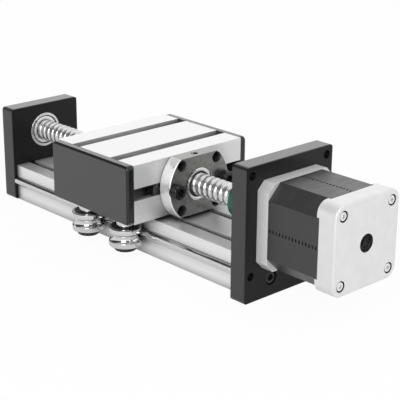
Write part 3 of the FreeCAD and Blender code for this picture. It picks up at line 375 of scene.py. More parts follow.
@dataclass(frozen=True)
class Laminations(Finish):
    """Stack of lacquered steel sheets: dark satin with a line at every joint."""

    streak_colour: str = "#48484a"
    streak_mm: float = 14.0
    sheet_mm: float = 1.0

    def work_surface(self, coat: Coat) -> None:
        """Sheet edges across the axis, twice as thick as the real 0.5 mm to show."""
        where = add_node(coat.tree, "ShaderNodeTexCoord")
        sheets = add_node(coat.tree, "ShaderNodeTexWave",
                          {"wave_type": "BANDS", "bands_direction": "X"},
                          {"Scale": WAVE_PERIOD / (self.sheet_mm * MM), "Distortion": 0.15,
                           "Detail": 1.0},
                          {"Vector": where.outputs["Object"]})
        streak = coat.grain((self.sheet_mm, self.streak_mm, self.streak_mm))
        both = add_node(coat.tree, "ShaderNodeMath", {"operation": "MULTIPLY"},
                        links={0: sheets.outputs["Fac"], 1: streak})
        coat.tint(both.outputs["Value"], self.streak_colour, between=(0.1, 0.75))
        coat.sheen(streak, below=0.08, above=0.1)
        coat.bump(both.outputs["Value"], depth_mm=0.015, strength=0.3)


@dataclass(frozen=True)
class MouldedPlastic(Finish):
    """Injection moulded plastic or rubber: spark-eroded grain, soft sheen."""

    grain_mm: float = 0.4

    def work_surface(self, coat: Coat) -> None:
        """Spark grain in relief."""
        sparks = coat.grain((self.grain_mm,) * 3)
        coat.sheen(sparks, below=0.05, above=0.08)
        coat.bump(sparks, depth_mm=0.02, strength=0.3)


@dataclass(frozen=True)
class StudioGround(Finish):
    """Seamless paper: white to the camera, pale grey in its own shade."""

    tooth_mm: float = 3.0

    def work_surface(self, coat: Coat) -> None:
        """Nothing but the paper's faint tooth."""
        coat.bump(coat.grain((self.tooth_mm,) * 3), depth_mm=0.02, strength=0.1)


class Finishes(Enum):
    """Every finish of the module."""

    BASE_EXTRUSION = ExtrudedAluminium("clear_anodised_base", "#efeff0", 0.65, 0.36)
    # The carriage's painted groove shade reaches deeper.
    CARRIAGE_EXTRUSION = ExtrudedAluminium("clear_anodised_carriage", "#d8d8d9", 0.5, 0.42,
                                           line_colour="#dededf", run=Axis.Y, groove_mm=14.0)
    # Painted light: the plates' X faces are a darker shaded copy, their sides, tops and bevels a
    # lighter, shinier lit copy.
    PLATE_FACE = BlackAnodised("black_anodised_shaded_face", "#0b0b0c", 0.0, 0.4, 1.34)
    PLATE_EDGE = BlackAnodised("black_anodised_lit_edge", "#121213", 0.0, 0.32, 1.68)
    RODS = PolishedSteel("ground_guide_rod", "#d2d2d2", roughness=0.14)
    ROLLERS = PolishedSteel("polished_roller", "#d6d6d6", roughness=0.05)
    BALL_THREAD = PolishedSteel("rolled_ball_thread", "#cfcfcf", 0.85, 0.17)
    RINGS = PolishedSteel("bearing_ring_steel", "#d8d8d8", roughness=0.12)
    SHIELD = PolishedSteel("bearing_shield_steel", "#f0f0ee", 0.6, 0.25)
    # Painted light: the nut's rim is a bright lit copy of its steel, its face and flats a dark
    # shaded copy that keeps the real turned rings.
    NUT_RIM = PolishedSteel("lit_ground_nut_rim", "#f8f8f7", 0.5, 0.34)
    NUT_FACE = GroundSteel("shaded_ground_nut_face", "#717170", roughness=0.36)
    # Painted shade for the walls of holes, slots and recesses.
    HOLE_WALL = BlackOxide("painted_shade_hole_wall", "#101010", 0.4, 0.5)
    SCREWS = BlackOxide("black_oxide_screw", "#1e1e1f", 0.8, 0.26)
    MOTOR_CAPS = DieCastAluminium("die_cast_motor_cap", "#dededf", 0.35, 0.45)
    STATOR = Laminations("stator_laminations", "#39393a", 0.35, 0.4)
    # Painted light: the end caps' Y faces are a lighter lit copy, their edges and other sides a
    # darker shaded copy.
    CAP_FACE = MouldedPlastic("lit_grained_cap_face", "#424243", 0.0, 0.45)
    CAP_EDGE = MouldedPlastic("shaded_polished_cap_edge", "#161617", 0.0, 0.26)
    GREEN_HUB = BlackAnodised("green_anodised_hub", "#2a6457", 0.5, 0.3)
    SPIDER = MouldedPlastic("spider_polyurethane", "#8f1f1a", 0.0, 0.45)
    SEAL = MouldedPlastic("nitrile_seal", "#1a1a1a", 0.0, 0.5)
    ZINC = PolishedSteel("zinc_plated_steel", "#e8e8e6", 0.7, 0.3)
    PAPER = StudioGround("studio_paper", "#f4f4f4", 0.0, 0.9, 1.4)


# Mesh helpers

def metres(*sizes: float) -> list[float]:
    """Sizes in millimetres, turned to metres."""
    return [size * MM for size in sizes]


def deselect() -> None:
    """Leave edit mode and clear the selection."""
    if bpy.context.object is not None and bpy.context.object.mode != "OBJECT":
        bpy.ops.object.mode_set(mode="OBJECT")
    bpy.ops.object.select_all(action="DESELECT")


def work_on(piece: Piece) -> None:
    """Make a piece the only one selected, and the active one.

    Args:
        piece: Object that the next operators work on.
    """
    deselect()
    piece.select_set(True)
    bpy.context.view_layer.objects.active = piece


@contextmanager
def editing(piece: Piece) -> Iterator[None]:
    """Edit a piece with its whole mesh selected, and go back to object mode after.

    Args:
        piece: Mesh object that is edited inside the with block.
    """
    work_on(piece)
    bpy.ops.object.mode_set(mode="EDIT")
    bpy.ops.mesh.select_all(action="SELECT")
    yield
    bpy.ops.object.mode_set(mode="OBJECT")


def merge_outward(threshold: float) -> None:
    """Merge the doubles of the mesh being edited, then point its faces outwards.

    Args:
        threshold: Distance in metres under which two vertices are one.
    """
    bpy.ops.mesh.select_all(action="SELECT")
    bpy.ops.mesh.remove_doubles(threshold=threshold)
    bpy.ops.mesh.normals_make_consistent(inside=False)


def apply_place(piece: Piece) -> None:
    """Move a piece's place, turn and scale into its mesh."""
    work_on(piece)
    bpy.ops.object.transform_apply(location=True, rotation=True, scale=True)


def apply_modifier(piece: Piece, kind: str, **settings: object) -> None:
    """Add a modifier with its settings and apply it.

    Args:
        piece: Mesh object that is changed.
        kind: Modifier type, such as BEVEL.
        settings: Properties of the modifier.
    """
    work_on(piece)
    modifier = piece.modifiers.new(kind.lower(), kind)
    for name, value in settings.items():
        setattr(modifier, name, value)
    bpy.ops.object.modifier_apply(modifier=modifier.name)


def smooth(piece: Piece, angle: float = 30.0) -> None:
    """Shade a piece smooth up to an angle, in degrees."""
    work_on(piece)
    bpy.ops.object.shade_smooth_by_angle(angle=math.radians(angle))


def flatten(piece: Piece) -> None:
    """Shade a bevelled piece so that its flat faces stay flat and its bevels round off."""
    smooth(piece)
    apply_modifier(piece, "WEIGHTED_NORMAL", keep_sharp=True, weight=100)


def join(pieces: list[Piece], name: str) -> Piece:
    """Join pieces into one object.

    Args:
        pieces: Mesh objects, of which the first stays.
        name: Name of the joined object and its mesh.

    Returns:
        The joined object.
    """
    work_on(pieces[0])
    for piece in pieces[1:]:
        piece.select_set(True)
    if len(pieces) > 1:
        bpy.ops.object.join()
    pieces[0].name = pieces[0].data.name = name
    return pieces[0]


def copy_to(piece: Piece, place: Matrix) -> Piece:
    """Copy a piece with a mesh of its own.

    Args:
        piece: Mesh object that is copied.
        place: Place and turn of the copy, which go into its mesh.

    Returns:
        The copy.
    """
    copy = piece.copy()
    copy.data = piece.data.copy()
    copy.parent = None
    bpy.context.collection.objects.link(copy)
    copy.matrix_world = place
    apply_place(copy)
    return copy


def cut_with(piece: Piece, cutter: Piece, operation: str = "DIFFERENCE") -> None:
    """Cut a piece with another object's shape, and remove the cutter."""
    apply_modifier(piece, "BOOLEAN", operation=operation, object=cutter, solver="EXACT")
    bpy.data.objects.remove(cutter)


def round_corners(piece: Piece, low: Vector, high: Vector, radius: float) -> None:
    """Trim a plate across X to a box with rounded corners.

    Args:
        piece: Plate with its place in its mesh.
        low: Low corner of its box.
        high: High corner of its box.
        radius: Radius of the new corners.
    """
    middle, size = (low + high) / 2, high - low
    spare, overshoot = 0.01 * MM, 1 * MM
    deselect()
    bpy.ops.mesh.primitive_plane_add(size=1, location=(low.x - overshoot, middle.y, middle.z),
                                     rotation=(0, math.pi / 2, 0))
    block = bpy.context.object
    block.scale = (size.z + spare, size.y + spare, 1)
    apply_place(block)
    with editing(block):
        bpy.ops.mesh.bevel(offset=radius, segments=8, affect="VERTICES")
        bpy.ops.mesh.select_all(action="SELECT")
        bpy.ops.mesh.extrude_region_move(
            TRANSFORM_OT_translate={"value": (size.x + 2 * overshoot, 0, 0)})
        merge_outward(threshold=1e-7)
    cut_with(piece, block, "INTERSECT")


def arc(centre: tuple[float, float], radius: float, start: float, end: float, steps: int) -> Profile:
    """Points of an arc in a profile, from one angle to another in degrees."""
    angles = (math.radians(start + (end - start) * step / steps) for step in range(steps + 1))
    return [(centre[0] + radius * math.cos(angle), centre[1] + radius * math.sin(angle))
            for angle in angles]


@dataclass
class Lathe:
    """A turned piece: a ring of vertices drawn out along a profile."""

    name: str
    profile: Profile
    centre: Point = (0.0, 0.0, 0.0)
    axis: Axis = Axis.X
    closed: bool = False
    segments: int = 96

    def turn(self) -> Piece:
        """Turn the piece from its profile of (along, radius) points in metres.

        Returns:
            The piece, at its place, with its normals outward.
        """
        deselect()
        along, radius = self.profile[0]
        bpy.ops.mesh.primitive_circle_add(vertices=self.segments, radius=radius,
                                          fill_type="NOTHING" if self.closed else "NGON",
                                          location=(0, 0, along))
        piece = bpy.context.object
        piece.name = piece.data.name = self.name
        apply_place(piece)
        stops = self.profile[1:] + (self.profile[:1] if self.closed else [])
        with editing(piece):
            for next_along, next_radius in stops:
                bpy.ops.mesh.extrude_edges_move(
                    TRANSFORM_OT_translate={"value": (0, 0, next_along - along)})
                ratio = next_radius / radius
                bpy.ops.transform.resize(value=(ratio, ratio, 1),
                                         center_override=(0, 0, next_along))
                along, radius = next_along, next_radius
            if not self.closed:
                bpy.ops.mesh.edge_face_add()
            merge_outward(threshold=1e-7)
        piece.matrix_world = Matrix.Translation(self.centre) @ self.axis.upright_to_axis
        apply_place(piece)
        smooth(piece)
        return piece


@dataclass
class CapScrew:
    """Socket head cap screw along X: head from 0 outward, shank the other way.

    The edge is a share of the head, the thread's run of the length, the ring round the
    socket of the socket; pitch, root and point are shares of the shank.
    """

    shank_mm: float
    head_mm: float
    head_height_mm: float
    length_mm: float
    socket_mm: float
    socket_depth_mm: float
    edge_share: float = 0.08
    edge_steps: int = 5
    run_share: float = 0.6
    ring_share: float = 0.72
    pitch_share: float = 0.16
    root_share: float = 0.88
    point_share: float = 0.7
    segments: int = 40

    def forge(self, name: str) -> Piece:
        """Turn the screw, break its edges and press the hexagon socket.

        Args:
            name: Name of the screw.

        Returns:
            The screw, its head's seat at the origin.
        """
        shank, head, top = self.shank_mm / 2, self.head_mm / 2, self.head_height_mm
        edge = self.edge_share * self.head_mm
        pitch = self.pitch_share * self.shank_mm
        profile = [(-self.length_mm, shank * self.point_share),
                   (-self.length_mm + shank * (1 - self.point_share), shank)]
        for turn in range(1, int(self.run_share * self.length_mm / pitch)):
            crest = -self.length_mm + (turn + 1) * pitch
            profile += [(crest - pitch / 2, shank * self.root_share), (crest, shank)]
        profile += [(0, shank), (0, head), (top - edge, head)]
        profile += arc((top - edge, head - edge), edge, 90, 0, self.edge_steps)[1:]
        profile += [(top, self.socket_mm * self.ring_share)]
        screw = Lathe(name, [(along * MM, radius * MM) for along, radius in profile],
                      segments=self.segments).turn()
        deselect()
        across_corners = self.socket_mm / math.cos(math.radians(30))
        bpy.ops.mesh.primitive_cylinder_add(
            vertices=6, radius=across_corners / 2 * MM, depth=2 * self.socket_depth_mm * MM,
            location=(top * MM, 0, 0), rotation=(0, math.pi / 2, 0))
        cutter = bpy.context.object
        apply_place(cutter)
        cut_with(screw, cutter)
        smooth(screw)
        return screw


# CAD nodes and what is read from them

def looks_along(polygon: Face, axis: Axis, share: float = 0.99) -> bool:
    """Whether a face's normal lies along an axis, either way, up to a share of it."""
    return abs(polygon.normal[axis.value]) > share


def round_node(node: str) -> tuple[float, float]:
    """Height of a round node's axis, and its radius, from its box."""
    low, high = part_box(node)
    return (high.z + low.z) / 2, (high.z - low.z) / 2


def centres(node: str, radius: float) -> list[tuple[float, float]]:
    """Axes of equal heads that point along X, read from their node's box.

    Args:
        node: CAD node that holds the group.
        radius: Radius of one head in metres.

    Returns:
        (y, z) of each head's axis, each once.
    """
    low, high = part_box(node)
    across = sorted({round(low.y + radius, 6), round(high.y - radius, 6)})
    upright = sorted({round(low.z + radius, 6), round(high.z - radius, 6)})
    if abs(upright[0] - upright[-1]) < NEAR:
        upright = upright[:1]
    return [(y, z) for y in across for z in upright]


def paint(piece: Piece, finish: Finishes, chosen: Callable[[Face], bool]) -> None:
    """Give some faces a finish of their own.

    Args:
        piece: Dressed mesh object.
        finish: Finish of those faces.
        chosen: Rule that says whether a face is one of them.
    """
    material = finish.value.material()
    if material.name not in piece.data.materials:
        piece.data.materials.append(material)
    index = piece.data.materials.find(material.name)
    for polygon in piece.data.polygons:
        if chosen(polygon):
            polygon.material_index = index


def dress(piece: Piece, body: Body, finish: Finishes, node: str) -> None:
    """Give a finished piece its material, its body and the node it stands for.

    Args:
        piece: Mesh object with its place in its mesh.
        body: Body that it rides on.
        finish: Finish of its whole surface.
        node: CAD node that it replaces and hides.
    """
    piece.data.materials.clear()
    piece.data.materials.append(finish.value.material())
    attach(piece, body.value)
    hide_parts(node)
    LOG.info("%s: %d faces, %s", piece.name, len(piece.data.polygons), finish.value.name)


@dataclass(frozen=True)
class Skin:
    """A CAD node that shows as a copy with broken edges and a finish."""

    node: str
    body: Body
    finish: Finishes
    edge_mm: float = 0.25
    face_finish: Finishes | None = None
    face_axis: Axis = Axis.X
    corner_mm: float = 0.0

    def wrap(self) -> Piece:
        """Copy the node, merge its loose triangles and break its sharp edges.

        Returns:
            The finished copy, which stands for the node.
        """
        copy = copy_to(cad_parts[self.node], Matrix.Identity(4))
        copy.name = copy.data.name = f"{self.node}_skin"
        with editing(copy):
            bpy.ops.mesh.remove_doubles(threshold=1e-6)
            bpy.ops.mesh.dissolve_limited(angle_limit=math.radians(0.5))
        if self.corner_mm > 0:
            round_corners(copy, *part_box(self.node), self.corner_mm * MM)
        if self.edge_mm > 0:
            apply_modifier(copy, "BEVEL", width=self.edge_mm * MM, segments=2,
                           limit_method="ANGLE", angle_limit=math.radians(40),
                           use_clamp_overlap=True)
        flatten(copy)
        dress(copy, self.body, self.finish, self.node)
        if self.face_finish is not None:
            paint(copy, self.face_finish, lambda polygon: looks_along(polygon, self.face_axis))
        return copy


# Sub-assemblies

@dataclass
class Dressing:
    """Finishes of the CAD nodes whose own shape shows."""

    skins: tuple[Skin, ...] = (
        Skin("base_profile", Body.BASE, Finishes.BASE_EXTRUSION, 0.3),
        # Plates: painted shade on the X faces, painted light on the rest.
        *(Skin(plate, Body.BASE, Finishes.PLATE_EDGE, 0.4, Finishes.PLATE_FACE, corner_mm=3.0)
          for plate in ("end_plate", "motor_plate")),
        *(Skin(rod, Body.BASE, Finishes.RODS, 0.0) for rod in ("guide_rod_left", "guide_rod_right")),
        Skin("bearing_outer_ring", Body.BASE, Finishes.RINGS, 0.2),
        *(Skin(rings, Body.BASE, Finishes.RINGS, 0.0)
          for rings in ("bearing_balls", "motor_bearing_outer_rings")),
        Skin("motor_front_cap", Body.BASE, Finishes.MOTOR_CAPS, 0.4),
        Skin("bearing_inner_ring", Body.SCREW, Finishes.RINGS, 0.2),
        Skin("lock_nut", Body.SCREW, Finishes.SCREWS, 0.2),
        *(Skin(hub, Body.SCREW, Finishes.GREEN_HUB, 0.2)
          for hub in ("coupling_screw_hub", "coupling_motor_hub")),
        Skin("coupling_spider", Body.SCREW, Finishes.SPIDER, 0.2),
        Skin("coupling_clamp_screws", Body.SCREW, Finishes.SCREWS, 0.0),
        Skin("motor_rotor", Body.SCREW, Finishes.STATOR, 0.0),
        Skin("motor_bearing_inner_rings", Body.SCREW, Finishes.RINGS, 0.0),
        Skin("carriage_extrusion", Body.CARRIAGE, Finishes.CARRIAGE_EXTRUSION, 0.3),
        # End caps: painted light on the Y faces, painted shade on the rest.
        *(Skin(cap, Body.CARRIAGE, Finishes.CAP_EDGE, 0.4, Finishes.CAP_FACE, Axis.Y)
          for cap in ("end_cap_left", "end_cap_right")),
        Skin("nut_slide_nuts", Body.CARRIAGE, Finishes.SCREWS, 0.3),
        Skin("roller_slide_nuts", Body.CARRIAGE, Finishes.ZINC, 0.3),
        Skin("roller_axles", Body.CARRIAGE, Finishes.SCREWS, 0.2),
        Skin("roller_eccentrics", Body.CARRIAGE, Finishes.RINGS, 0.3),
        *(Skin(rings, Body.CARRIAGE, Finishes.RINGS, 0.2)
          for rings in ("roller_spacers", "roller_inner_rings")),
    )

    def build(self) -> None:
        """Wrap every listed node."""
        for skin in self.skins:
            skin.wrap()


@dataclass
class BallNut:
    """Ball nut: turned rim painted light, ground face and flats painted shade, holes painted dark
    with shade.

    Sizes across are radii from the screw's axis; a mouth is given by its wide and narrow
    radius and its depth.
    """

    barrel_mm: float = 14.3
    rim_mm: float = 25.6
    flats_mm: float = 19.7
    bolt_circle_mm: float = 21.65
    hole_angles: tuple[int, ...] = (45, 135, 225, 315)
    mouth_mm: tuple[float, float, float] = (3.9, 3.3, 0.6)

    def build(self) -> None:
        """Skin the nut, paint light on its rim and shade on its face, flats and hole walls."""
        # Painted light on the rim, painted shade on the face.
        nut = Skin("ball_nut", Body.CARRIAGE, Finishes.NUT_RIM, 0.3, Finishes.NUT_FACE).wrap()
        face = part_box("ball_nut")[1].x
        height = round_node("ball_nut")[0]
        mouths = [self.mouth(face, height, angle) for angle in self.hole_angles]
        cut_with(nut, join(mouths, "mouth_cutter"))
        flatten(nut)
        barrel, rim, flats = metres(self.barrel_mm, self.rim_mm, self.flats_mm)

        def on_flat(polygon: Face) -> bool:
            """Whether a face lies on one of the two ground flats."""
            return looks_along(polygon, Axis.Z, 0.999) and abs(polygon.center.z - height) > flats

        def in_hole(polygon: Face) -> bool:
            """Whether a face belongs to the wall of a hole through the flange."""
            across, up = polygon.center.y, polygon.center.z - height
            return (barrel < math.hypot(across, up) < rim and abs(up) < flats
                    and not looks_along(polygon, Axis.X, 0.9))

        # Painted shade on the flats and on the walls of the holes.
        paint(nut, Finishes.NUT_FACE, on_flat)
        paint(nut, Finishes.HOLE_WALL, in_hole)

    def mouth(self, face: float, height: float, angle: float) -> Piece:
        """Cutter for the countersunk mouth of one free hole, twice as long as it cuts.

        Args:
            face: Place of the flange's face along X.
            height: Height of the screw's axis.
            angle: Angle of the hole round it in degrees.

        Returns:
            The cutter.
        """
        wide, narrow, depth, reach = metres(*self.mouth_mm, self.bolt_circle_mm)
        turn = math.radians(angle)
        deselect()
        bpy.ops.mesh.primitive_cone_add(
            vertices=48, radius1=narrow, radius2=2 * wide - narrow, depth=2 * depth,
            location=(face, reach * math.cos(turn), height + reach * math.sin(turn)),
            rotation=(0, math.pi / 2, 0))
        cutter = bpy.context.object
        apply_place(cutter)
        return cutter


@dataclass
class MotorRear:
    """Rear cap and shaft: the hole and the screws' recesses carry painted shade."""

    hole_mm: float = 5.9
    recess_mm: float = 3.7
    screw_head_mm: float = 5.5

    def build(self) -> None:
        """Skin both pieces and paint shade on the walls of the openings and on the shaft's end."""
        cap = Skin("motor_rear_cap", Body.BASE, Finishes.MOTOR_CAPS, 0.4).wrap()
        shaft = Skin("motor_shaft", Body.SCREW, Finishes.RINGS, 0.0).wrap()
        low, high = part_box("motor_rear_cap")
        middle = (low + high) / 2
        openings = [((0.0, middle.z), self.hole_mm * MM)]
        openings += [(place, self.recess_mm * MM)
                     for place in centres("motor_cap_screws", self.screw_head_mm / 2 * MM)]

        def in_opening(polygon: Face) -> bool:
            """Whether a face lies on the wall of one of the openings."""
            return not looks_along(polygon, Axis.X, 0.5) and any(
                math.hypot(polygon.center.y - y, polygon.center.z - z) < reach
                for (y, z), reach in openings)

        # Painted shade: the openings' walls go near black and the shaft's end takes the dark screw
        # steel.
        paint(cap, Finishes.HOLE_WALL, in_opening)
        paint(shaft, Finishes.SCREWS, lambda polygon: polygon.center.x > middle.x)


@dataclass
class Stator:
    """Laminated stator with a row of small slots along each side."""

    slots: int = 15
    pitch_mm: float = 2.6
    slot_mm: tuple[float, float] = (1.1, 2.2)
    depth_mm: float = 0.8
    first_mm: float = 1.9
    margin_mm: float = 0.08

    def build(self) -> None:
        """Copy the stator, cut the four rows and paint shade on what they open."""
        skin = Skin("motor_stator", Body.BASE, Finishes.STATOR, 0.2).wrap()
        low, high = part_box("motor_stator")
        middle, half = (low + high) / 2, (high - low) / 2
        rows = [self.row(low.x, middle, half.z, quarter) for quarter in range(4)]
        cut_with(skin, join(rows, "slot_cutter"))
        flatten(skin)
        end = half.x - self.first_mm / 2 * MM
        surface = half.z - self.margin_mm * MM
        floor = surface - self.depth_mm * MM

        def in_slot(polygon: Face) -> bool:
            """Whether a face is the wall or the floor of a slot."""
            across, along, up = (polygon.center - middle).yxz
            return abs(along) < end and floor < max(abs(across), abs(up)) < surface

        # Painted shade in the slots.
        paint(skin, Finishes.HOLE_WALL, in_slot)

    def row(self, start: float, middle: Vector, reach: float, quarter: int) -> Piece:
        """Cutters for the slots of one side.

        Args:
            start: Start of the stator along X.
            middle: Its middle.
            reach: Distance of its sides from its axis.
            quarter: Quarter turns from its top to this side.

        Returns:
            The row as one piece.
        """
        deselect()
        length, height, depth = metres(*self.slot_mm, self.depth_mm)
        bpy.ops.mesh.primitive_cube_add(size=1)
        cutter = bpy.context.object
        cutter.scale = (length, height, 2 * depth)
        cutter.location = (0, 0, reach)
        apply_place(cutter)
        apply_modifier(cutter, "ARRAY", count=self.slots, use_relative_offset=False,
                       use_constant_offset=True,
                       constant_offset_displace=(self.pitch_mm * MM, 0, 0))
        place = Matrix.Translation((start + self.first_mm * MM, middle.y, middle.z))
        cutter.matrix_world = place @ Matrix.Rotation(quarter * math.pi / 2, 4, "X")
        apply_place(cutter)
        return cutter


@dataclass
class Seals:
    """Seals of the screw bearing and wipers of the ball nut.

    The bearing's sizes are radii and the step of its pressed ring. The wiper's are its gap to
    the screw, the width of its lip, its depth, the bright bead's height and the black ring
    round it, and how deep the bead is set.
    """

    land_mm: float = 10.9
    groove_mm: float = 10.0
    lip_mm: float = 7.7
    bore_mm: float = 7.4
    step_mm: float = 0.2
    wiper_gap_mm: float = 0.3
    wiper_lip_mm: float = 0.8
    wiper_depth_mm: float = 1.8
    bead_mm: float = 0.6
    bead_set_mm: float = 0.3

    def build(self) -> None:
        """Turn the bearing's seals and the nut's wipers."""
        self.build_bearing_seals()
        self.build_wipers()

    def build_bearing_seals(self) -> None:
        """Black seal in the bearing with a bright pressed ring on it, each side."""
        land, groove, lip, bore, step = metres(
            self.land_mm, self.groove_mm, self.lip_mm, self.bore_mm, self.step_mm)
        self.build_pair("bearing_seal_pair", "bearing_shields", Body.BASE, Finishes.SEAL, [
            (step, bore), (3 * step, bore), (3 * step, land), (step, land)])
        self.build_pair("bearing_seal_rings", "bearing_shields", Body.BASE, Finishes.SHIELD, [
            (step, lip), (step, groove), (step / 2, groove), (0, groove - step),
            (0, lip + step), (step / 2, lip)])

    def build_wipers(self) -> None:
        """Black seals that reach in to the screw, each under a bright steel bead."""
        gap, lip, depth, bead, set_in = metres(
            self.wiper_gap_mm, self.wiper_lip_mm, self.wiper_depth_mm, self.bead_mm,
            self.bead_set_mm)
        rim = round_node("nut_seals")[1]
        bore = round_node("ball_screw")[1] + gap
        mouth = bore + lip
        self.build_pair("nut_wiper_holders", "nut_seals", Body.CARRIAGE, Finishes.RINGS, [
            (set_in, rim - bead), (-bead / 2, rim - bead), (-bead, rim - 2 * bead),
            (-bead, mouth + bead), (-bead / 2, mouth), (set_in, mouth)])
        self.build_pair("nut_wiper_lips", "nut_seals", Body.CARRIAGE, Finishes.SEAL, [
            (set_in, rim), (set_in, mouth), (depth / 2, bore), (depth, bore), (depth, rim)])

    def build_pair(self, name: str, node: str, body: Body, finish: Finishes,
                   section: Profile) -> None:
        """Turn equal rings into both ends of a node.

        Args:
            name: Name of the pair.
            node: CAD node that it stands for.
            body: Body that it rides on.
            finish: Finish of both rings.
            section: Points of (depth below the node's face, radius) in metres.
        """
        low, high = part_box(node)
        centre = (0.0, 0.0, round_node(node)[0])
        rings = [Lathe(name, [(face + inward * depth, radius) for depth, radius in section],
                       centre, closed=True).turn()
                 for face, inward in ((low.x, 1), (high.x, -1))]
        dress(join(rings, name), body, finish, node)


@dataclass
class BallThread:
    """The ball screw with its rolled thread and turned ends."""

    lead_mm: float = 5.0
    ball_mm: float = 3.8
    groove_depth_mm: float = 0.9
    lip_mm: float = 0.3
    lip_drop_mm: float = 0.18
    steps: int = 48
    points: int = 10
    neck_mm: float = 4.0
    shoulder_mm: float = 1.0
    shoulder_radius_mm: float = 6.5
    end_radius_mm: float = 5.0
    chamfer_mm: float = 0.5
    core_share: float = 0.8

    def build(self) -> None:
        """Sweep the thread, trim it square and add the turned ends."""
        low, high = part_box("ball_screw")
        height, rim = round_node("ball_screw")
        centre = (0.0, 0.0, height)
        lead, neck, shoulder, wide, radius, chamfer = metres(
            self.lead_mm, self.neck_mm, self.shoulder_mm, self.shoulder_radius_mm,
            self.end_radius_mm, self.chamfer_mm)
        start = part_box("end_plate")[1].x + shoulder
        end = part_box("coupling_screw_hub")[0].x - neck
        # A turn to spare at each end, which the cuts take away.
        turns = math.ceil((end - start) / lead) + 2
        thread = self.sweep(self.tooth(rim, start - lead), turns)
        self.trim(thread, start, -1)
        self.trim(thread, end, 1)
        thread.matrix_world = Matrix.Translation(centre)
        apply_place(thread)
        smooth(thread, angle=40)
        core = rim * self.core_share
        bearing_end = [(start, core), (start - shoulder, wide), (start - shoulder, radius),
                       (low.x + chamfer, radius), (low.x, radius - chamfer)]
        drive_end = [(end, core), (end, radius), (high.x - chamfer, radius),
                     (high.x, radius - chamfer)]
        ends = [Lathe("screw_bearing_end", bearing_end, centre).turn(),
                Lathe("screw_drive_end", drive_end, centre).turn()]
        dress(join([thread] + ends, "ball_screw_threaded"), Body.SCREW, Finishes.BALL_THREAD,
              "ball_screw")

    def tooth(self, radius: float, start: float) -> Profile:
        """One lead of the thread's outline: land, rounded lips and ball groove.

        Args:
            radius: Outer radius of the thread.
            start: Where the lead starts along X.

        Returns:
            Points of (along, radius) in metres.
        """
        lead, ball, depth, lip, drop = metres(
            self.lead_mm, self.ball_mm / 2, self.groove_depth_mm, self.lip_mm, self.lip_drop_mm)
        middle = (start + lead / 2, radius - depth + ball)
        half_angle = math.degrees(math.acos((ball - depth + drop) / ball))
        groove = arc(middle, ball, -90 - half_angle, -90 + half_angle, self.points)
        return ([(start, radius), (groove[0][0] - lip, radius)] + groove +
                [(groove[-1][0] + lip, radius), (start + lead, radius)])

    def sweep(self, outline: Profile, turns: int) -> Piece:
        """Sweep one lead's outline round and along the axis.

        Args:
            outline: Points of (along, radius) in metres.
            turns: Number of turns.

        Returns:
            The open thread, round the X axis.
        """
        deselect()
        bpy.ops.mesh.primitive_plane_add(size=1 * MM)
        thread = bpy.context.object
        thread.name = thread.data.name = "ball_thread"
        along, radius = outline[0]
        with editing(thread):
            bpy.ops.mesh.merge(type="CENTER")
            bpy.ops.transform.translate(value=(along, 0, radius))
            for next_along, next_radius in outline[1:]:
                step = (next_along - along, 0, next_radius - radius)
                bpy.ops.mesh.extrude_region_move(TRANSFORM_OT_translate={"value": step})
                along, radius = next_along, next_radius
        apply_modifier(thread, "SCREW", axis="X", angle=2 * math.pi,
                       screw_offset=self.lead_mm * MM, iterations=turns, steps=self.steps,
                       render_steps=self.steps, use_merge_vertices=True, merge_threshold=1e-6)
        with editing(thread):
            merge_outward(threshold=2e-6)
        return thread

    def trim(self, thread: Piece, place: float, outward: int) -> None:
        """Cut the thread square at a place along X, and close the cut; outward is 1 or -1."""
        with editing(thread):
            bpy.ops.mesh.bisect(plane_co=(place, 0, 0), plane_no=(outward, 0, 0),
                                use_fill=True, clear_outer=True)


@dataclass
class GuideRollers:
    """Four polished rollers with a round groove for the rods and a black seal in each face."""

    bore_mm: float = 5.3
    edge_mm: float = 0.6
    edge_steps: int = 4
    seal_mm: float = 0.3
    seal_rim_mm: float = 9.2
    play_mm: float = 0.25
    groove_steps: int = 16

    def build(self) -> None:
        """Turn each roller on its own axis, from its node's box, and blacken its seals."""
        low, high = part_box("guide_rod_left")
        rod_side = abs(low.y + high.y) / 2
        groove = round_node("guide_rod_left")[1] + self.play_mm * MM
        for body in (Body.FRONT_LEFT, Body.FRONT_RIGHT, Body.REAR_LEFT, Body.REAR_RIGHT):
            low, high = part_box(body.value)
            middle, half = (low + high) / 2, (high - low) / 2
            profile = self.section(half.x, half.z, abs(abs(middle.y) - rod_side), groove)
            roller = Lathe(f"{body.value}_turned", profile, tuple(middle), Axis.Z,
                           closed=True).turn()
            dress(roller, body, Finishes.ROLLERS, body.value)
            sunk = half.z - self.seal_mm * MM
            paint(roller, Finishes.SEAL,
                  lambda polygon: abs(abs(polygon.center.z - middle.z) - sunk) < NEAR)

    def section(self, rim: float, half: float, reach: float, groove: float) -> Profile:
        """Section of a roller: bore, sunk seals, faces, rims and groove.

        Args:
            rim: Radius of the rims.
            half: Half of the width.
            reach: Distance of the rod's axis from the roller's.
            groove: Radius of the groove's round.

        Returns:
            Closed outline of (along, radius) in metres.
        """
        bore, edge, seal, cavity = metres(
            self.bore_mm, self.edge_mm, self.seal_mm, self.seal_rim_mm)
        half_angle = math.degrees(math.acos((reach - rim) / groove))
        hollow = arc((0, reach), groove, 270 - half_angle, 270 + half_angle, self.groove_steps)
        lower = [(-half + seal, bore), (-half + seal, cavity), (-half, cavity),
                 (-half, rim - edge)]
        lower += arc((-half + edge, rim - edge), edge, 180, 90, self.edge_steps)[1:]
        upper = [(-along, radius) for along, radius in reversed(lower)]
        return lower + hollow + upper


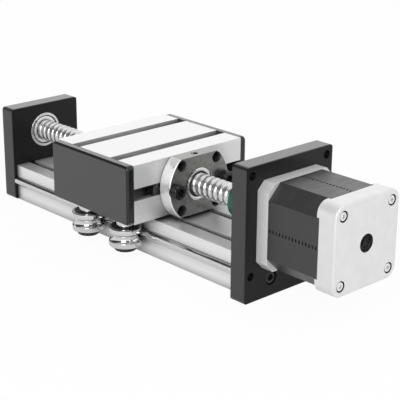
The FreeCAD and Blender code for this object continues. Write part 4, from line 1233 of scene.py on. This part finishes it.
@dataclass
class ScrewGroup:
    """A node of equal cap screws, remade with their sockets."""

    node: str
    body: Body
    screw: CapScrew
    finish: Finishes
    head_towards: int = 1
    raised_mm: float = 0.0

    def build(self) -> None:
        """Forge one screw and put a copy at each place of the node."""
        low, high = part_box(self.node)
        height = (self.screw.head_height_mm - self.raised_mm) * MM
        seat = high.x - height if self.head_towards > 0 else low.x + height
        turn = Matrix.Rotation(0 if self.head_towards > 0 else math.pi, 4, "Z")
        first = self.screw.forge(f"{self.node}_pattern")
        copies = [copy_to(first, Matrix.Translation((seat, y, z)) @ turn)
                  for y, z in centres(self.node, self.screw.head_mm / 2 * MM)]
        bpy.data.objects.remove(first)
        dress(join(copies, f"{self.node}_socketed"), self.body, self.finish, self.node)


PLATE_SCREW = CapScrew(5, 8.5, 5, 20, 4, 2.5)


@dataclass
class Fasteners:
    """All socket head screws of the module."""

    groups: tuple[ScrewGroup, ...] = (
        ScrewGroup("nut_screws", Body.CARRIAGE, CapScrew(6, 10, 6, 18, 5, 3), Finishes.SCREWS),
        ScrewGroup("motor_plate_screws", Body.BASE, PLATE_SCREW, Finishes.SCREWS),
        ScrewGroup("end_plate_screws", Body.BASE, PLATE_SCREW, Finishes.SCREWS, -1),
        ScrewGroup("motor_mount_screws", Body.BASE, CapScrew(4, 7.6, 2.2, 13.2, 2.5, 1.4),
                   Finishes.SCREWS, -1),
        ScrewGroup("motor_cap_screws", Body.BASE, CapScrew(3, 5.5, 3.8, 52.2, 2.5, 1.6),
                   Finishes.ZINC, raised_mm=0.8),
    )

    def build(self) -> None:
        """Remake each group."""
        for group in self.groups:
            group.build()


@dataclass(frozen=True)
class Softbox:
    """A square lamp that faces a point: its width in metres, its power in watts."""

    name: str
    place: Point
    target: Point
    width: float
    power: float

    def hang(self) -> None:
        """Add the lamp at its place and turn it to its target."""
        data = bpy.data.lights.new(self.name, "AREA")
        data.shape = "SQUARE"
        data.size = self.width
        data.energy = self.power
        lamp = bpy.data.objects.new(self.name, data)
        bpy.context.collection.objects.link(lamp)
        lamp.location = self.place
        aim = Vector(self.target) - Vector(self.place)
        lamp.rotation_euler = aim.to_track_quat("-Z", "Y").to_euler()


@dataclass
class Studio:
    """White ground and sky, soft lamps and the photograph's camera.

    The sky's bands are the levels that polished metal mirrors, by height, and its rear
    fade says between which depths it turns all white behind the module.
    """

    camera_place: Point = (0.6073, -0.5163, 0.3069)
    azimuth: float = 47.10
    elevation: float = 19.53
    roll: float = 0.41
    focal_mm: float = 109.67
    sensor_mm: float = 36.0
    clip: tuple[float, float] = (0.01, 50.0)
    floor_size: float = 12.0
    floor_gap_mm: float = 0.2
    floor_white: float = 0.95
    floor_mirrored: float = 0.4
    sky_level: float = 0.6
    sky_bands: tuple[tuple[float, float], ...] = ((0.3, 1.0), (0.42, 0.06), (0.8, 0.06), (0.92, 1.0))
    rear_fade: tuple[float, float] = (-0.1, 0.15)
    lamps: tuple[Softbox, ...] = (
        Softbox("key_softbox", (0.75, -1.15, 0.85), (0.0, 0.0, 0.05), 1.0, 11.5),
        Softbox("top_softbox", (0.1, 0.25, 1.5), (0.05, 0.0, 0.05), 1.2, 1.0),
        Softbox("motor_softbox", (1.5, 0.25, 0.6), (0.15, 0.0, 0.05), 0.8, 4.0),
        Softbox("back_softbox", (-1.5, 1.4, 0.75), (0.0, 0.0, 0.05), 1.6, 6.0),
    )

    def build(self) -> None:
        """Set up ground, sky, lamps, camera and the plain view."""
        self.add_ground()
        self.add_sky()
        for lamp in self.lamps:
            lamp.hang()
        self.add_camera()
        bpy.context.scene.view_settings.view_transform = "Standard"

    def add_ground(self) -> None:
        """Lay the paper just under the module, near white to camera and in reflections."""
        deselect()
        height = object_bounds()[0].z - self.floor_gap_mm * MM
        bpy.ops.mesh.primitive_plane_add(size=self.floor_size, location=(0, 0, height))
        ground = bpy.context.object
        ground.name = "studio_ground"
        paper = Finishes.PAPER.value.material()
        ground.data.materials.append(paper)
        tree = paper.node_tree
        shader, output = tree.nodes["Principled BSDF"], tree.nodes["Material Output"]
        rays = add_node(tree, "ShaderNodeLightPath")
        white = add_node(tree, "ShaderNodeEmission", values={"Color": grey(1.0), "Strength": 1.0})
        direct = add_node(tree, "ShaderNodeMath", {"operation": "MULTIPLY"},
                          {1: self.floor_white}, {0: rays.outputs["Is Camera Ray"]})
        share = add_node(tree, "ShaderNodeMath", {"operation": "MULTIPLY_ADD"},
                         {1: self.floor_mirrored},
                         {0: rays.outputs["Is Glossy Ray"], 2: direct.outputs["Value"]})
        mix = add_node(tree, "ShaderNodeMixShader",
                       links={"Fac": share.outputs["Value"], 1: shader.outputs["BSDF"],
                              2: white.outputs["Emission"]})
        tree.links.new(mix.outputs["Shader"], output.inputs["Surface"])
        ground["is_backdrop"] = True

    def add_sky(self) -> None:
        """Even pale sky, with a dark band in front that polished metal mirrors."""
        world = bpy.data.worlds.new("studio_sky")
        bpy.context.scene.world = world
        world.use_nodes = True
        tree = world.node_tree
        background = tree.nodes["Background"]
        where = add_node(tree, "ShaderNodeTexCoord")
        parts = add_node(tree, "ShaderNodeSeparateXYZ",
                         links={"Vector": where.outputs["Generated"]})
        bands = add_node(tree, "ShaderNodeValToRGB", links={"Fac": parts.outputs["Z"]})
        stops = bands.color_ramp.elements
        stops.remove(stops[1])
        (position, level), *others = self.sky_bands
        stops[0].position, stops[0].color = position, grey(level)
        for position, level in others:
            stops.new(position).color = grey(level)
        start, end = self.rear_fade
        behind = add_node(tree, "ShaderNodeMapRange",
                          values={"From Min": start, "From Max": end},
                          links={"Value": parts.outputs["Y"]})
        mirrored = add_node(tree, "ShaderNodeMath", {"operation": "MAXIMUM"},
                            links={0: bands.outputs["Color"], 1: behind.outputs["Result"]})
        rays = add_node(tree, "ShaderNodeLightPath")
        unseen = add_node(tree, "ShaderNodeMapRange", values={"To Min": self.sky_level},
                          links={"Value": rays.outputs["Is Glossy Ray"],
                                 "To Max": mirrored.outputs["Value"]})
        shown = add_node(tree, "ShaderNodeMath", {"operation": "MAXIMUM"},
                         links={0: unseen.outputs["Result"], 1: rays.outputs["Is Camera Ray"]})
        tree.links.new(shown.outputs["Value"], background.inputs["Strength"])
        background.inputs["Color"].default_value = grey(1.0)

    def add_camera(self) -> None:
        """Stand the camera where the photograph was taken."""
        turn, lift, roll = (math.radians(angle)
                            for angle in (self.azimuth, self.elevation, self.roll))
        back = Vector((math.sin(turn) * math.cos(lift), -math.cos(turn) * math.cos(lift),
                       math.sin(lift)))
        level = Vector((math.cos(turn), math.sin(turn), 0))
        up = back.cross(level)
        right = level * math.cos(roll) + up * math.sin(roll)
        upward = up * math.cos(roll) - level * math.sin(roll)
        data = bpy.data.cameras.new("photo_camera")
        data.lens, data.sensor_width = self.focal_mm, self.sensor_mm
        data.clip_start, data.clip_end = self.clip
        camera = bpy.data.objects.new("photo_camera", data)
        bpy.context.collection.objects.link(camera)
        camera.matrix_world = (Matrix.Translation(self.camera_place) @
                               Matrix((right, upward, back)).transposed().to_4x4())
        bpy.context.scene.camera = camera


def main() -> None:
    """Build the sub-assemblies in order, then the studio."""
    logging.basicConfig(level=logging.INFO, format="%(name)s %(message)s")
    for assembly in (Dressing, BallNut, MotorRear, Stator, Seals, BallThread, GuideRollers,
                     Fasteners, Studio):
        assembly().build()


if __name__ == "__main__":
    main()
